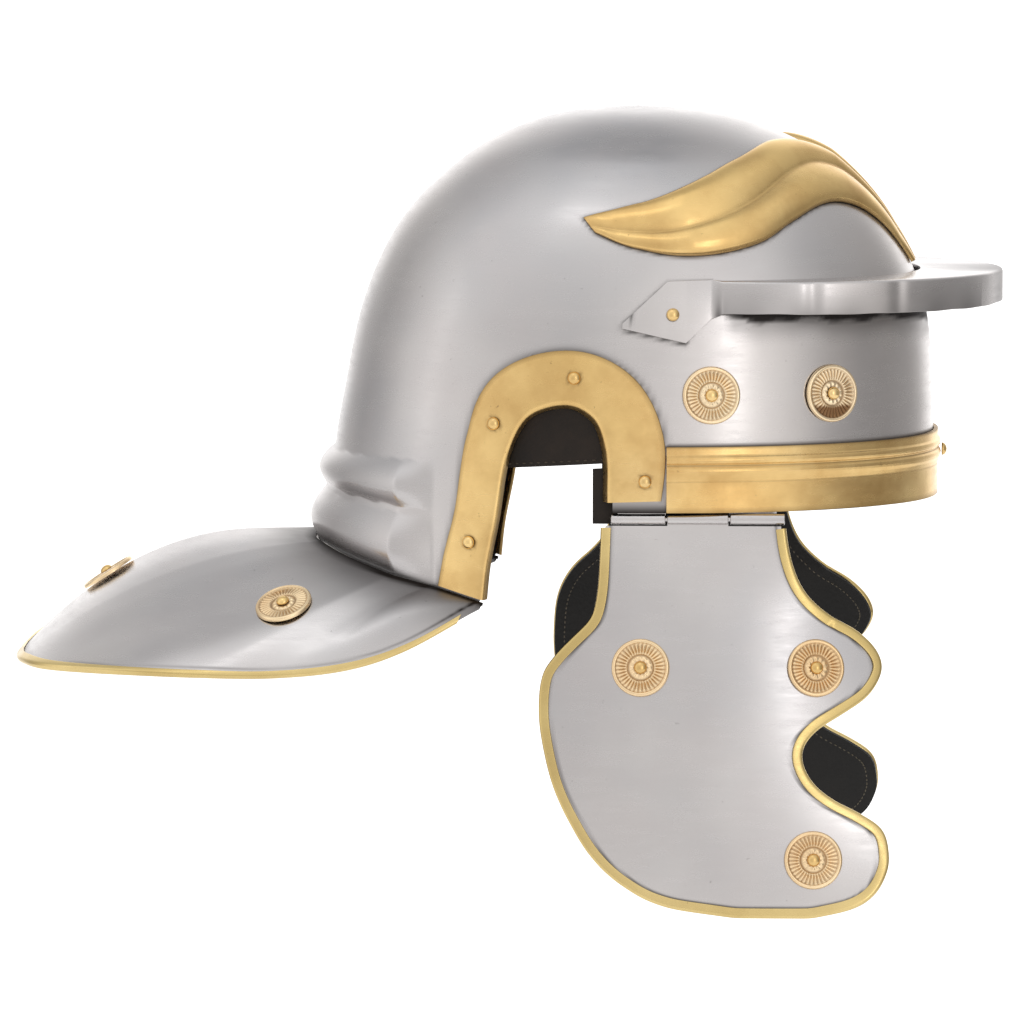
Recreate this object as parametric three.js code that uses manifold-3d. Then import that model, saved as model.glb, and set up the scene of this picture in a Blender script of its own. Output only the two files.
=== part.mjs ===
// Roman legionary helmet: steel bowl with nape beads, neck guard, peak, hinged cheek guards, brass fittings.
// Millimetres. +X is the front, +Y the wearer's left, +Z up. The origin is the brow rim's centre.
import * as THREE from 'three';
import Module from 'manifold-3d';

const wasm = await Module();
wasm.setup();

// Driving dimensions: the bowl
const SHEET = 1.2;
const GAP = 0.3;
const BOWL_HEIGHT = 157.7;
const BOWL_FRONT = 120;
const BOWL_REAR = 126;
const BOWL_HALF_WIDTH = 92;
const CROWN_X = 4;
const PLAN_POWER = 2.2;
const NAPE_TOP = 20;
const NAPE_DEPTH = 19;
const EAR_DEPTH = 37.5;
const NAPE_FLARE = 6;
const NAPE_BEAD = 4.5;

// Driving dimensions: ear opening and its brass guard
const EAR_FRONT_X = -5.6;
const EAR_WIDTH = 46;
const EAR_HEIGHT = 43;
const EAR_GUARD_WIDTH = 21;
const EAR_GUARD_SHEET = 1.2;
const EAR_FLANGE_DEPTH = 4;
const EAR_FLANGE_LEAN = 2.6;

// Driving dimensions: brow band and peak
const BAND_HEIGHT = 26.5;
const BAND_SHEET = 1.7;
const BAND_RIDGE = 1.3;
const PEAK_TOP_Z = 92;
const PEAK_FLANGE = 13.5;
const PEAK_REACH_X = 152;
const PEAK_HALF_WIDTH = 89;
const PEAK_CENTRE_X = 60;
const PEAK_FRONT_GAP = 2.5;
const LUG_LENGTH = 38;
const LUG_STANDOFF = 1;
const LUG_FORE = 0.9;

// Driving dimensions: eyebrow ornament
const EYEBROW_SHEET = 0.8;
const EYEBROW_RELIEF = 4.2;
const EYEBROW_LEAST = 0.35;

// Driving dimensions: neck guard and edge trim
const NECK_LENGTH = 129.5;
const NECK_HALF_WIDTH = 99;
const NECK_DROP = 65;
const TRIM_WIDTH = 4.2;
const TRIM_SHEET = 0.7;

// Driving dimensions: hinges and cheek guards
const HINGE_REAR_X = -6;
const HINGE_LENGTH = 69;
const KNUCKLE_LENGTH = 25;
const HINGE_Y = 89.5;
const BARREL_RADIUS = 2.2;
const PIN_RADIUS = 1.0;
const LEAF_SHEET = 1.0;
const LEAF_HEIGHT = 12;
const CHEEK_REAR_X = -34.3;
const CHEEK_LENGTH = 139;
const CHEEK_DEPTH = 155.5;
const CHEEK_SPLAY = 10.5;
const CHEEK_TOE_IN = 11.5;
const CHEEK_DISH = 4;
const LINING_THICKNESS = 1.8;
const LINING_TAB_FOOT_Z = -4.8;
const LINING_TAB_BEHIND = 3.8;

// Driving dimensions: leather headband, rosettes and rivets
const HEADBAND_HEIGHT = 42;
const HEADBAND_THICKNESS = 2;
const HEADBAND_LOW_Z = 20;
const HEADBAND_TILT = 0.06;
const ROSETTE_RADIUS = 11.5;
const ROSETTE_HEIGHT = 1.6;
const RIVET_RADIUS = 2.6;
const RIVET_HEIGHT = 2.1;

const HINGE_Z = -(BARREL_RADIUS + GAP);
const EDGE_CLEAR = 0.5;

const STEEL = { color: 0xa9a6a4, roughness: 0.28, metalness: 1 };
const BRASS = { color: 0xcfa74e, roughness: 0.3, metalness: 1 };
const GILT = { color: 0xd09a52, roughness: 0.35, metalness: 1 };
const LEATHER = { color: 0x17130f, roughness: 0.6, metalness: 0 };

// Bowl sections at each lift, as shares of the front reach, rear reach and half width.
// The lift is the angle whose sine is height / BOWL_HEIGHT.
const BOWL_SECTIONS = [
  { lift: 0, front: 1, rear: 1, side: 1 },
  { lift: 7.5, front: 1, rear: 0.99, side: 1 },
  { lift: 15, front: 1, rear: 0.963, side: 0.991 },
  { lift: 30, front: 0.967, rear: 0.897, side: 0.951 },
  { lift: 45, front: 0.842, rear: 0.775, side: 0.826 },
  { lift: 60, front: 0.637, rear: 0.575, side: 0.614 },
  { lift: 70, front: 0.458, rear: 0.418, side: 0.44 },
  { lift: 80, front: 0.256, rear: 0.238, side: 0.245 },
  { lift: 90, front: 0, rear: 0, side: 0 },
];

// Inner edge of the ear guard from its front foot over the arch to its rear foot:
// aft as a share of EAR_WIDTH, up as a share of EAR_HEIGHT, and the guard's width there.
const EAR_ARCH = [
  { aft: 0.03, up: 0.1, width: 1 },
  { aft: 0.045, up: 0.586, width: 1.1 },
  { aft: 0.15, up: 0.88, width: 1.06 },
  { aft: 0.365, up: 1, width: 1.02 },
  { aft: 0.71, up: 0.895, width: 0.99 },
  { aft: 0.887, up: 0.565, width: 0.85 },
  { aft: 1, up: -0.09, width: 0.81 },
  { aft: 1.08, up: -0.52, width: 0.85 },
  { aft: 1.115, up: -0.86, width: 0.9 },
];
const EAR_RIVETS = [
  { share: 0.05, out: 0.66 },
  { share: 0.37, out: 0.5 },
  { share: 0.575, out: 0.5 },
  { share: 0.82, out: 0.5 },
];
// The share of the ear guard's arch that stands beside the brow band, and the places where it is measured.
const BAND_BESIDE = { share: 0.2, count: 8 };
// Shares of the way round the arch between which the flange's lean dies out.
const EAR_LEAN_FADE = { from: 0.3, to: 0.6 };

// Brow band section from its lower to its upper edge: height share and ridge share.
const BAND_SECTION = [
  { up: 0, ridge: 0 },
  { up: 0.42, ridge: 0 },
  { up: 0.52, ridge: 1 },
  { up: 0.64, ridge: 1 },
  { up: 0.84, ridge: 0.8 },
  { up: 0.92, ridge: 0 },
  { up: 1, ridge: 0 },
];

// Peak lug from its rear tip forward: aft as a share of LUG_LENGTH, edges as shares of PEAK_FLANGE
// above the flange's lower edge.
const LUG_OUTLINE = [
  { aft: 1.045, low: -0.4, high: -0.26 },
  { aft: 0.58, low: -0.7, high: 0.94 },
  { aft: 0.39, low: -0.82, high: 0.96 },
  { aft: 0.12, low: -0.12, high: 0.98 },
];

// Eyebrow outline from its rear tip to its foot at the peak: turn and lift of both edges, in degrees.
const EYEBROW_OUTLINE = [
  { upTurn: 101.3, upLift: 47.4, lowTurn: 98.2, lowLift: 44.4 },
  { upTurn: 93.4, upLift: 49.3, lowTurn: 90.8, lowLift: 41.6 },
  { upTurn: 86, upLift: 51.5, lowTurn: 83.3, lowLift: 40.1 },
  { upTurn: 73.8, upLift: 56.2, lowTurn: 74.3, lowLift: 40.4 },
  { upTurn: 62.6, upLift: 60.3, lowTurn: 63.8, lowLift: 42.5 },
  { upTurn: 43.4, upLift: 65, lowTurn: 54.3, lowLift: 46.1 },
  { upTurn: 27.4, upLift: 65.3, lowTurn: 43, lowLift: 49.2 },
  { upTurn: 15, upLift: 62.2, lowTurn: 33.2, lowLift: 50 },
  { upTurn: 10, upLift: 57.5, lowTurn: 23.4, lowLift: 48.4 },
  { upTurn: 7, upLift: 50.5, lowTurn: 15.4, lowLift: 44.9 },
  { upTurn: 4.5, upLift: 43.5, lowTurn: 9.5, lowLift: 40.5 },
  { upTurn: 1.5, upLift: 37.2, lowTurn: 4.5, lowLift: 36.8 },
];
// Relief across the eyebrow from its upper to its lower edge: two lobes with a valley between.
const EYEBROW_RELIEFS = [
  { across: 0, relief: 0 },
  { across: 0.12, relief: 0.55 },
  { across: 0.3, relief: 1 },
  { across: 0.52, relief: 0.35 },
  { across: 0.7, relief: 0.85 },
  { across: 0.9, relief: 0.45 },
  { across: 1, relief: 0 },
];

// Share of the eyebrow over which its relief rises from either end.
const EYEBROW_RISE = { rear: 0.22, front: 0.33 };

// Neck guard's outer edge from the rear centre to its front corner: back as a share of NECK_LENGTH
// behind the bowl, out as a share of NECK_HALF_WIDTH, drop as a share of NECK_DROP. The shoulder is the share
// of the way down that the sheet has fallen where it stands NECK_HANDLE of the way out.
const NECK_EDGE = [
  { along: 0, back: 0.985, out: 0, drop: 1.02, shoulder: -0.27 },
  { along: 0.15, back: 0.975, out: 0.3, drop: 1.01, shoulder: -0.1 },
  { along: 0.3, back: 0.94, out: 0.56, drop: 0.99, shoulder: 0.19 },
  { along: 0.42, back: 0.855, out: 0.75, drop: 0.99, shoulder: 0.44 },
  { along: 0.55, back: 0.65, out: 0.9, drop: 0.99, shoulder: 0.52 },
  { along: 0.67, back: 0.385, out: 0.97, drop: 1, shoulder: 0.42 },
  { along: 0.77, back: 0.14, out: 0.985, drop: 1, shoulder: 0.36 },
  { along: 0.86, back: -0.09, out: 0.975, drop: 0.95, shoulder: 0.08 },
  { along: 0.93, back: -0.27, out: 0.94, drop: 0.835, shoulder: -0.03 },
  { along: 1, back: -0.49, out: 0.87, drop: 0.6, shoulder: -0.1 },
];
const NECK_HANDLE = 0.54;

// Cheek guard's edges at each depth below the hinge, as shares of CHEEK_DEPTH and CHEEK_LENGTH.
// The two guards differ at the rear shoulder, which is fuller on the left one.
const CHEEK_REAR_EDGE = [
  { down: 0, right: 0.175, left: 0.175 },
  { down: 0.12, right: 0.171, left: 0.171 },
  { down: 0.165, right: 0.168, left: 0.157 },
  { down: 0.205, right: 0.162, left: 0.121 },
  { down: 0.25, right: 0.147, left: 0.066 },
  { down: 0.295, right: 0.098, left: 0.031 },
  { down: 0.34, right: 0.049, left: 0.0115 },
  { down: 0.39, right: 0.011, left: 0.003 },
  { down: 0.485, right: 0, left: 0 },
  { down: 0.575, right: 0.013, left: 0.013 },
  { down: 0.675, right: 0.043, left: 0.043 },
  { down: 0.765, right: 0.091, left: 0.091 },
  { down: 0.855, right: 0.158, left: 0.158 },
  { down: 0.925, right: 0.249, left: 0.249 },
  { down: 0.975, right: 0.372, left: 0.372 },
  { down: 1, right: 0.56, left: 0.56 },
];
const CHEEK_FRONT_EDGE = [
  { down: 0, fore: 0.7 },
  { down: 0.105, fore: 0.72 },
  { down: 0.185, fore: 0.76 },
  { down: 0.245, fore: 0.832 },
  { down: 0.28, fore: 0.9 },
  { down: 0.325, fore: 0.955 },
  { down: 0.37, fore: 0.979 },
  { down: 0.405, fore: 0.972 },
  { down: 0.453, fore: 0.934 },
  { down: 0.495, fore: 0.86 },
  { down: 0.53, fore: 0.794 },
  { down: 0.573, fore: 0.754 },
  { down: 0.615, fore: 0.754 },
  { down: 0.665, fore: 0.786 },
  { down: 0.705, fore: 0.842 },
  { down: 0.74, fore: 0.917 },
  { down: 0.78, fore: 0.98 },
  { down: 0.845, fore: 1 },
  { down: 0.887, fore: 0.994 },
  { down: 0.943, fore: 0.957 },
  { down: 0.978, fore: 0.89 },
  { down: 1, fore: 0.78 },
];

// Rosettes and single rivets: shares of the bowl, the neck guard, a cheek guard, a lug and the brow band.
const BOWL_ROSETTES = [
  { name: 'rear', fore: 0.247, up: 0.297 },
  { name: 'front', fore: 0.644, up: 0.295 },
];
const NECK_ROSETTES = [
  { name: 'neck_right', along: -0.6, across: 0.367 },
  { name: 'neck_rear', along: 0, across: 0.69 },
  { name: 'neck_left', along: 0.6, across: 0.367 },
];
const CHEEK_ROSETTES = [
  { down: 0.372, fore: 0.291 },
  { down: 0.375, fore: 0.788 },
  { down: 0.854, fore: 0.783 },
];
const LUG_RIVET = { aft: 0.525, up: -0.01 };
const BAND_RIVET_UP = 0.66;

// Small sums

const radians = THREE.MathUtils.degToRad;
const degrees = THREE.MathUtils.radToDeg;
const clamp = THREE.MathUtils.clamp;
const lerp = THREE.MathUtils.lerp;

function signedPower(value, power) {
  return Math.sign(value) * Math.abs(value) ** power;
}

// Smooth value of one column of a table of rows, sorted by its key column.
function smooth(rows, key, column, at) {
  const last = rows.length - 1;
  const place = clamp(at, rows[0][key], rows[last][key]);
  let i = 0;
  while (i < last - 1 && place > rows[i + 1][key]) i++;
  const slope = (a, b) => (rows[b][column] - rows[a][column]) / (rows[b][key] - rows[a][key]);
  const tangent = (k) => slope(Math.max(k - 1, 0), Math.min(k + 1, last));
  const span = rows[i + 1][key] - rows[i][key];
  const t = (place - rows[i][key]) / span;
  const h = [2 * t ** 3 - 3 * t ** 2 + 1, t ** 3 - 2 * t ** 2 + t, 3 * t ** 2 - 2 * t ** 3, t ** 3 - t ** 2];
  const ends = h[0] * rows[i][column] + h[2] * rows[i + 1][column];
  return ends + span * (h[1] * tangent(i) + h[3] * tangent(i + 1));
}

function steps(count, from, to) {
  return Array.from({ length: count + 1 }, (_, i) => lerp(from, to, i / count));
}

// Closed bodies

const MERGE_SIZE = 0.0005;

// Merges equal points, drops empty triangles and turns the faces outward.
function closedBody(points, faces) {
  const ids = new Map();
  const places = [];
  const merged = points.map((p) => {
    const name = p.toArray().map((v) => Math.round(v / MERGE_SIZE)).join();
    if (!ids.has(name)) {
      ids.set(name, places.length / 3);
      places.push(...p.toArray());
    }
    return ids.get(name);
  });
  const at = (i) => new THREE.Vector3().fromArray(places, 3 * i);
  const joined = faces.map((f) => f.map((i) => merged[i]));
  const kept = joined.filter(([a, b, c]) => a !== b && b !== c && c !== a);
  const volume = kept.reduce((sum, [a, b, c]) => sum + at(a).dot(at(b).cross(at(c))), 0);
  const index = volume < 0 ? kept.map(([a, b, c]) => [a, c, b]) : kept;
  const body = new THREE.BufferGeometry();
  body.setAttribute('position', new THREE.Float32BufferAttribute(places, 3));
  body.setIndex(index.flat());
  return body;
}

function quad(a, b, c, d) {
  return [[a, b, c], [a, c, d]];
}

// A wall between two grids of points; wrap closes the grid's first direction on itself.
function wall(front, back, wrap = false) {
  const rows = front.length;
  const columns = front[0].length;
  const points = [...front.flat(), ...back.flat()];
  const id = (i, j, side) => side * rows * columns + (i % rows) * columns + j;
  const faces = [];
  const spans = wrap ? rows : rows - 1;
  for (let i = 0; i < spans; i++) {
    for (let j = 0; j < columns - 1; j++) {
      faces.push(...quad(id(i, j, 0), id(i + 1, j, 0), id(i + 1, j + 1, 0), id(i, j + 1, 0)));
      faces.push(...quad(id(i, j, 1), id(i, j + 1, 1), id(i + 1, j + 1, 1), id(i + 1, j, 1)));
    }
    const top = columns - 1;
    faces.push(...quad(id(i, 0, 0), id(i, 0, 1), id(i + 1, 0, 1), id(i + 1, 0, 0)));
    faces.push(...quad(id(i, top, 0), id(i + 1, top, 0), id(i + 1, top, 1), id(i, top, 1)));
  }
  if (!wrap) {
    const end = rows - 1;
    for (let j = 0; j < columns - 1; j++) {
      faces.push(...quad(id(0, j, 0), id(0, j + 1, 0), id(0, j + 1, 1), id(0, j, 1)));
      faces.push(...quad(id(end, j, 0), id(end, j, 1), id(end, j + 1, 1), id(end, j + 1, 0)));
    }
  }
  return closedBody(points, faces);
}

// A bar lofted through sections of equal count; outline is the flat section that its end caps follow.
function bar(sections, outline) {
  const count = outline.length;
  const id = (i, k) => i * count + (k % count);
  const faces = [];
  for (let i = 0; i < sections.length - 1; i++) {
    for (let k = 0; k < count; k++) {
      faces.push(...quad(id(i, k), id(i + 1, k), id(i + 1, k + 1), id(i, k + 1)));
    }
  }
  const end = sections.length - 1;
  const flat = outline.map(([u, v]) => new THREE.Vector2(u, v));
  for (const [a, b, c] of THREE.ShapeUtils.triangulateShape(flat, [])) {
    faces.push([id(0, a), id(0, b), id(0, c)]);
    faces.push([id(end, a), id(end, c), id(end, b)]);
  }
  return closedBody(sections.flat(), faces);
}

function solidOf(geometry) {
  const vertProperties = new Float32Array(geometry.attributes.position.array);
  const triVerts = new Uint32Array(geometry.index.array);
  return new wasm.Manifold(new wasm.Mesh({ numProp: 3, vertProperties, triVerts }));
}

function geometryOf(solid) {
  const mesh = solid.getMesh();
  const geometry = new THREE.BufferGeometry();
  geometry.setAttribute('position', new THREE.BufferAttribute(new Float32Array(mesh.vertProperties), 3));
  geometry.setIndex(new THREE.BufferAttribute(new Uint32Array(mesh.triVerts), 1));
  return geometry;
}

// A plain round bar or tube along X, as a closed lathed body.
function roundBar(length, outer, inner, facets) {
  const profile = inner > 0
    ? [[inner, 0], [outer, 0], [outer, length], [inner, length], [inner, 0]]
    : [[0, 0], [outer, 0], [outer, length], [0, length]];
  return lathed(profile, facets).rotateZ(-Math.PI / 2);
}

function lathed(profile, facets) {
  const ring = (i) => (2 * Math.PI * i) / facets;
  const points = [];
  const faces = [];
  for (let i = 0; i < facets; i++) {
    const c = Math.cos(ring(i));
    const s = Math.sin(ring(i));
    for (const [r, h] of profile) points.push(new THREE.Vector3(r * c, h, r * s));
  }
  const count = profile.length;
  for (let i = 0; i < facets; i++) {
    const near = i * count;
    const next = ((i + 1) % facets) * count;
    for (let j = 0; j < count - 1; j++) faces.push(...quad(near + j, next + j, next + j + 1, near + j + 1));
  }
  return closedBody(points, faces);
}

// The bowl's outer skin

function bowlSection(z) {
  const lift = degrees(Math.asin(clamp(z / BOWL_HEIGHT, -1, 1)));
  return {
    front: BOWL_FRONT * smooth(BOWL_SECTIONS, 'lift', 'front', lift),
    rear: BOWL_REAR * smooth(BOWL_SECTIONS, 'lift', 'rear', lift),
    side: BOWL_HALF_WIDTH * smooth(BOWL_SECTIONS, 'lift', 'side', lift),
  };
}

function bowlFill(x, y, z) {
  const section = bowlSection(z);
  const reach = x > CROWN_X ? section.front : section.rear;
  return (Math.abs(x - CROWN_X) / reach) ** PLAN_POWER + (Math.abs(y) / section.side) ** PLAN_POWER;
}

function bowlNormal(x, y, z) {
  const step = 0.05;
  if (z > BOWL_HEIGHT - 4 * step) return new THREE.Vector3(0, 0, 1);
  const slope = (dx, dy, dz) => bowlFill(x + dx, y + dy, z + dz) - bowlFill(x - dx, y - dy, z - dz);
  return new THREE.Vector3(slope(step, 0, 0), slope(0, step, 0), slope(0, 0, step)).normalize();
}

// The beads fade out just behind the ear guard's rear foot.
const BEAD_END_X = EAR_FRONT_X - EAR_WIDTH * EAR_ARCH.at(-1).aft - EAR_GUARD_WIDTH;
const BEAD_FADE = 12;

// Height of the crease between nape and neck guard at x.
function creaseZ(x) {
  const rearX = CROWN_X - BOWL_REAR;
  const earX = EAR_FRONT_X - EAR_WIDTH * EAR_ARCH.at(-1).aft;
  return lerp(-NAPE_DEPTH, -EAR_DEPTH, clamp((x - rearX) / (earX - rearX), 0, 1));
}

// How far the nape stands out of the plain bowl: a flare with two beads along it.
function napeBulge(x, z) {
  const down = (NAPE_TOP - z) / (NAPE_TOP - creaseZ(x));
  const fade = clamp((BEAD_END_X - x) / BEAD_FADE, 0, 1);
  if (down <= 0 || fade <= 0) return 0;
  const hump = (from, to) => Math.sin(Math.PI * clamp((down - from) / (to - from), 0, 1));
  return fade * (NAPE_FLARE * Math.min(down, 1) + NAPE_BEAD * (hump(0.02, 0.42) + hump(0.46, 0.98)));
}

function skin(x, y, z, out) {
  const place = new THREE.Vector3(x, y, z);
  return place.addScaledVector(bowlNormal(x, y, z), out + napeBulge(x, z));
}

// A point of the bowl by its turn from the front and its height.
function bowlAt(turn, z, out) {
  const section = bowlSection(z);
  const c = Math.cos(turn);
  const x = CROWN_X + (c > 0 ? section.front : section.rear) * signedPower(c, 2 / PLAN_POWER);
  const y = section.side * signedPower(Math.sin(turn), 2 / PLAN_POWER);
  return skin(x, y, z, out);
}

// Half width of the plain bowl at x and z.
function bowlHalfWidth(x, z) {
  const section = bowlSection(z);
  const reach = x > CROWN_X ? section.front : section.rear;
  const share = clamp(Math.abs(x - CROWN_X) / reach, 0, 1);
  return section.side * (1 - share ** PLAN_POWER) ** (1 / PLAN_POWER);
}

// A point of the bowl's side by x and z; side is 1 for the wearer's left and -1 for the right.
function sidePoint(x, z, side, out) {
  return skin(x, side * bowlHalfWidth(x, z), z, out);
}

function turnAtX(x, z) {
  const section = bowlSection(z);
  const reach = x > CROWN_X ? section.front : section.rear;
  const share = clamp((x - CROWN_X) / reach, -1, 1);
  return Math.acos(signedPower(share, PLAN_POWER / 2));
}

// Ear opening

const earCurve = new THREE.CatmullRomCurve3(
  EAR_ARCH.map((row) => new THREE.Vector3(EAR_FRONT_X - EAR_WIDTH * row.aft, EAR_HEIGHT * row.up, row.width)),
  false,
  'centripetal',
);

const EAR_STEPS = 18;

// Place, outward direction and width of the ear guard at a share of the way round its arch.
function earAt(share) {
  const place = earCurve.getPoint(share);
  const along = earCurve.getTangent(share);
  const out = new THREE.Vector2(along.y, -along.x).normalize();
  return { place: new THREE.Vector2(place.x, place.y), out, width: EAR_GUARD_WIDTH * place.z };
}

function earEdge(share, outward) {
  const { place, out } = earAt(share);
  return place.addScaledVector(out, outward);
}

function bowlCutter() {
  const clear = EAR_GUARD_SHEET + 1.5 * GAP;
  const arch = steps(EAR_STEPS, 0, 1).map((share) => earEdge(share, clear));
  const reach = PEAK_REACH_X;
  const floor = -2 * EAR_DEPTH;
  const shape = new THREE.Shape();
  shape.moveTo(reach, 0);
  shape.lineTo(arch[0].x, 0);
  arch.forEach((p) => shape.lineTo(p.x, p.y));
  shape.lineTo(arch.at(-1).x - 2, floor);
  shape.lineTo(reach, floor);
  const width = 3 * BOWL_HALF_WIDTH;
  const cut = new THREE.ExtrudeGeometry(shape, { depth: width, bevelEnabled: false });
  cut.rotateX(Math.PI / 2).translate(0, width / 2, 0);
  return plain(cut);
}

// Position and index alone, with shared corners merged.
function plain(geometry) {
  const source = (geometry.index ? geometry.toNonIndexed() : geometry).attributes.position;
  const corner = (_, i) => new THREE.Vector3().fromBufferAttribute(source, i);
  const points = Array.from({ length: source.count }, corner);
  const faces = Array.from({ length: source.count / 3 }, (_, i) => [3 * i, 3 * i + 1, 3 * i + 2]);
  return closedBody(points, faces);
}

// Sheet steel

const NAPE_ROWS = [1, 0.86, 0.72, 0.58, 0.44, 0.32, 0.2, 0];
const DOME_LIFTS = [18, 31, 44, 57, 69, 80, 90];

function skullBowl() {
  const beadEnd = turnAtX(BEAD_END_X, 0);
  const half = [...steps(12, 0, beadEnd).slice(0, -1), ...steps(6, beadEnd, Math.PI)];
  const turns = [...half, ...half.slice(1, -1).reverse().map((turn) => -turn)];
  const grid = (out) => turns.map((turn) => {
    const rimX = bowlAt(turn, 0, 0).x;
    const nape = NAPE_ROWS.map((down) => bowlAt(turn, lerp(NAPE_TOP, creaseZ(rimX), down), out));
    const dome = DOME_LIFTS.map((lift) => bowlAt(turn, BOWL_HEIGHT * Math.sin(radians(lift)), out));
    return [...nape, ...dome];
  });
  const shell = solidOf(wall(grid(0), grid(-SHEET), true));
  return geometryOf(shell.subtract(solidOf(bowlCutter())));
}

// Neck guard surface: along runs from -1 (right corner) over 0 (rear) to 1 (left corner),
// across from the nape to the edge.
function neckPoint(along, across) {
  const side = along < 0 ? -1 : 1;
  const share = Math.abs(along);
  const rearX = CROWN_X - BOWL_REAR;
  const cornerX = EAR_FRONT_X - EAR_WIDTH * EAR_ARCH.at(-1).aft;
  const turn = lerp(Math.PI, turnAtX(cornerX, 0), share);
  const rimX = bowlAt(turn, 0, 0).x;
  const root = bowlAt(side * turn, creaseZ(rimX), GAP + SHEET / 2);
  const edge = new THREE.Vector3(
    rearX - NECK_LENGTH * smooth(NECK_EDGE, 'along', 'back', share),
    side * NECK_HALF_WIDTH * smooth(NECK_EDGE, 'along', 'out', share),
    -NECK_DROP * smooth(NECK_EDGE, 'along', 'drop', share),
  );
  const handle = root.clone().lerp(edge, NECK_HANDLE);
  handle.z = lerp(root.z, edge.z, smooth(NECK_EDGE, 'along', 'shoulder', share));
  const a = (1 - across) ** 2;
  const b = 2 * across * (1 - across);
  const c = across ** 2;
  return root.multiplyScalar(a).addScaledVector(handle, b).addScaledVector(edge, c);
}

function neckNormal(along, across) {
  const step = 0.004;
  const span = (a, b, c, d) => neckPoint(a, b).sub(neckPoint(c, d));
  const low = Math.max(across - step, 0);
  const high = Math.min(across + step, 1);
  const alongSpan = span(along + step, across, along - step, across);
  return alongSpan.cross(span(along, high, along, low)).normalize();
}

function neckSkin(along, across, out) {
  return neckPoint(along, across).addScaledVector(neckNormal(along, across), out);
}

const NECK_ALONG = steps(24, -1, 1);
const NECK_ACROSS = [0, 0.18, 0.38, 0.58, 0.78, 1];

function neckGuard() {
  const grid = (out) => NECK_ALONG.map((along) => NECK_ACROSS.map((across) => neckSkin(along, across, out)));
  return wall(grid(SHEET / 2), grid(-SHEET / 2));
}

// Trim: a folded brass channel. The section's first column runs inward from the edge,
// the second across the sheet.
const TRIM_SLOT = SHEET / 2 + GAP;
const TRIM_HALF = TRIM_SLOT + TRIM_SHEET;
const TRIM_NOSE = TRIM_SHEET + GAP;
const TRIM_REACH = TRIM_NOSE + GAP;
const TRIM_SECTION = [
  [TRIM_WIDTH, TRIM_SLOT],
  [TRIM_WIDTH, TRIM_HALF],
  [0, TRIM_HALF * 0.7],
  [0, -TRIM_HALF * 0.7],
  [TRIM_WIDTH, -TRIM_HALF],
  [TRIM_WIDTH, -TRIM_SLOT],
  [TRIM_NOSE, -TRIM_SLOT],
  [TRIM_NOSE, TRIM_SLOT],
];

function trimSections(frames) {
  return frames.map(({ place, inward, normal }) => TRIM_SECTION.map(([u, v]) => (
    place.clone().addScaledVector(inward, u).addScaledVector(normal, v)
  )));
}

// The trim stops just short of the guard's front corners.
const NECK_TRIM_SHARE = 0.98;

// A point of the faceted sheet, which is straight between the rows of its grid.
function neckFacet(along, across) {
  const after = Math.max(NECK_ALONG.findIndex((at) => at >= along), 1);
  const from = NECK_ALONG[after - 1];
  const to = NECK_ALONG[after];
  return neckPoint(from, across).lerp(neckPoint(to, across), (along - from) / (to - from));
}

function neckTrim() {
  const lastRow = NECK_ACROSS.at(-2);
  const step = (NECK_ALONG[1] - NECK_ALONG[0]) / 2;
  const frames = NECK_ALONG.map((at) => {
    const along = clamp(at, -NECK_TRIM_SHARE, NECK_TRIM_SHARE);
    const edge = neckFacet(along, 1);
    const inward = neckFacet(along, lastRow).sub(edge).normalize();
    const ahead = neckFacet(Math.min(along + step, 1), 1).sub(neckFacet(Math.max(along - step, -1), 1));
    const normal = inward.clone().cross(ahead).normalize();
    return { place: edge.addScaledVector(inward, -TRIM_REACH), inward, normal };
  });
  return bar(trimSections(frames), TRIM_SECTION);
}

// Brass on the bowl

function earGuard(side) {
  const outer = GAP + EAR_GUARD_SHEET;
  const feet = (p) => new THREE.Vector2(p.x, Math.max(p.y, creaseZ(p.x) + outer));
  const row = (share, backed) => {
    const { width } = earAt(share);
    const out = backed ? GAP : outer;
    const inset = backed ? EAR_GUARD_SHEET : 0;
    const fade = (EAR_LEAN_FADE.to - share) / (EAR_LEAN_FADE.to - EAR_LEAN_FADE.from);
    const lean = EAR_FLANGE_LEAN * clamp(fade, 0, 1);
    const place = (outward, level) => {
      const p = feet(earEdge(share, outward));
      return sidePoint(p.x, p.y, side, level);
    };
    return [place(width, out), place(width / 2, out), place(inset, out), place(inset - lean, -EAR_FLANGE_DEPTH)];
  };
  const shares = steps(EAR_STEPS, 0, 1);
  return wall(shares.map((share) => row(share, false)), shares.map((share) => row(share, true)));
}

function browBand() {
  const beside = steps(BAND_BESIDE.count, 0, BAND_BESIDE.share);
  const front = Math.max(...beside.map((share) => earEdge(share, earAt(share).width).x)) + GAP;
  const end = turnAtX(front, 0);
  const face = GAP + BAND_SHEET;
  const section = BAND_SECTION.map((row) => [face + BAND_RIDGE * row.ridge, BAND_HEIGHT * row.up]);
  const outline = [...section, [GAP, BAND_HEIGHT], [GAP, 0]];
  const sections = steps(26, -end, end).map((turn) => outline.map(([out, z]) => {
    const foot = bowlAt(turn, z, out);
    return new THREE.Vector3(foot.x, foot.y, z);
  }));
  return bar(sections, outline);
}

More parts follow.
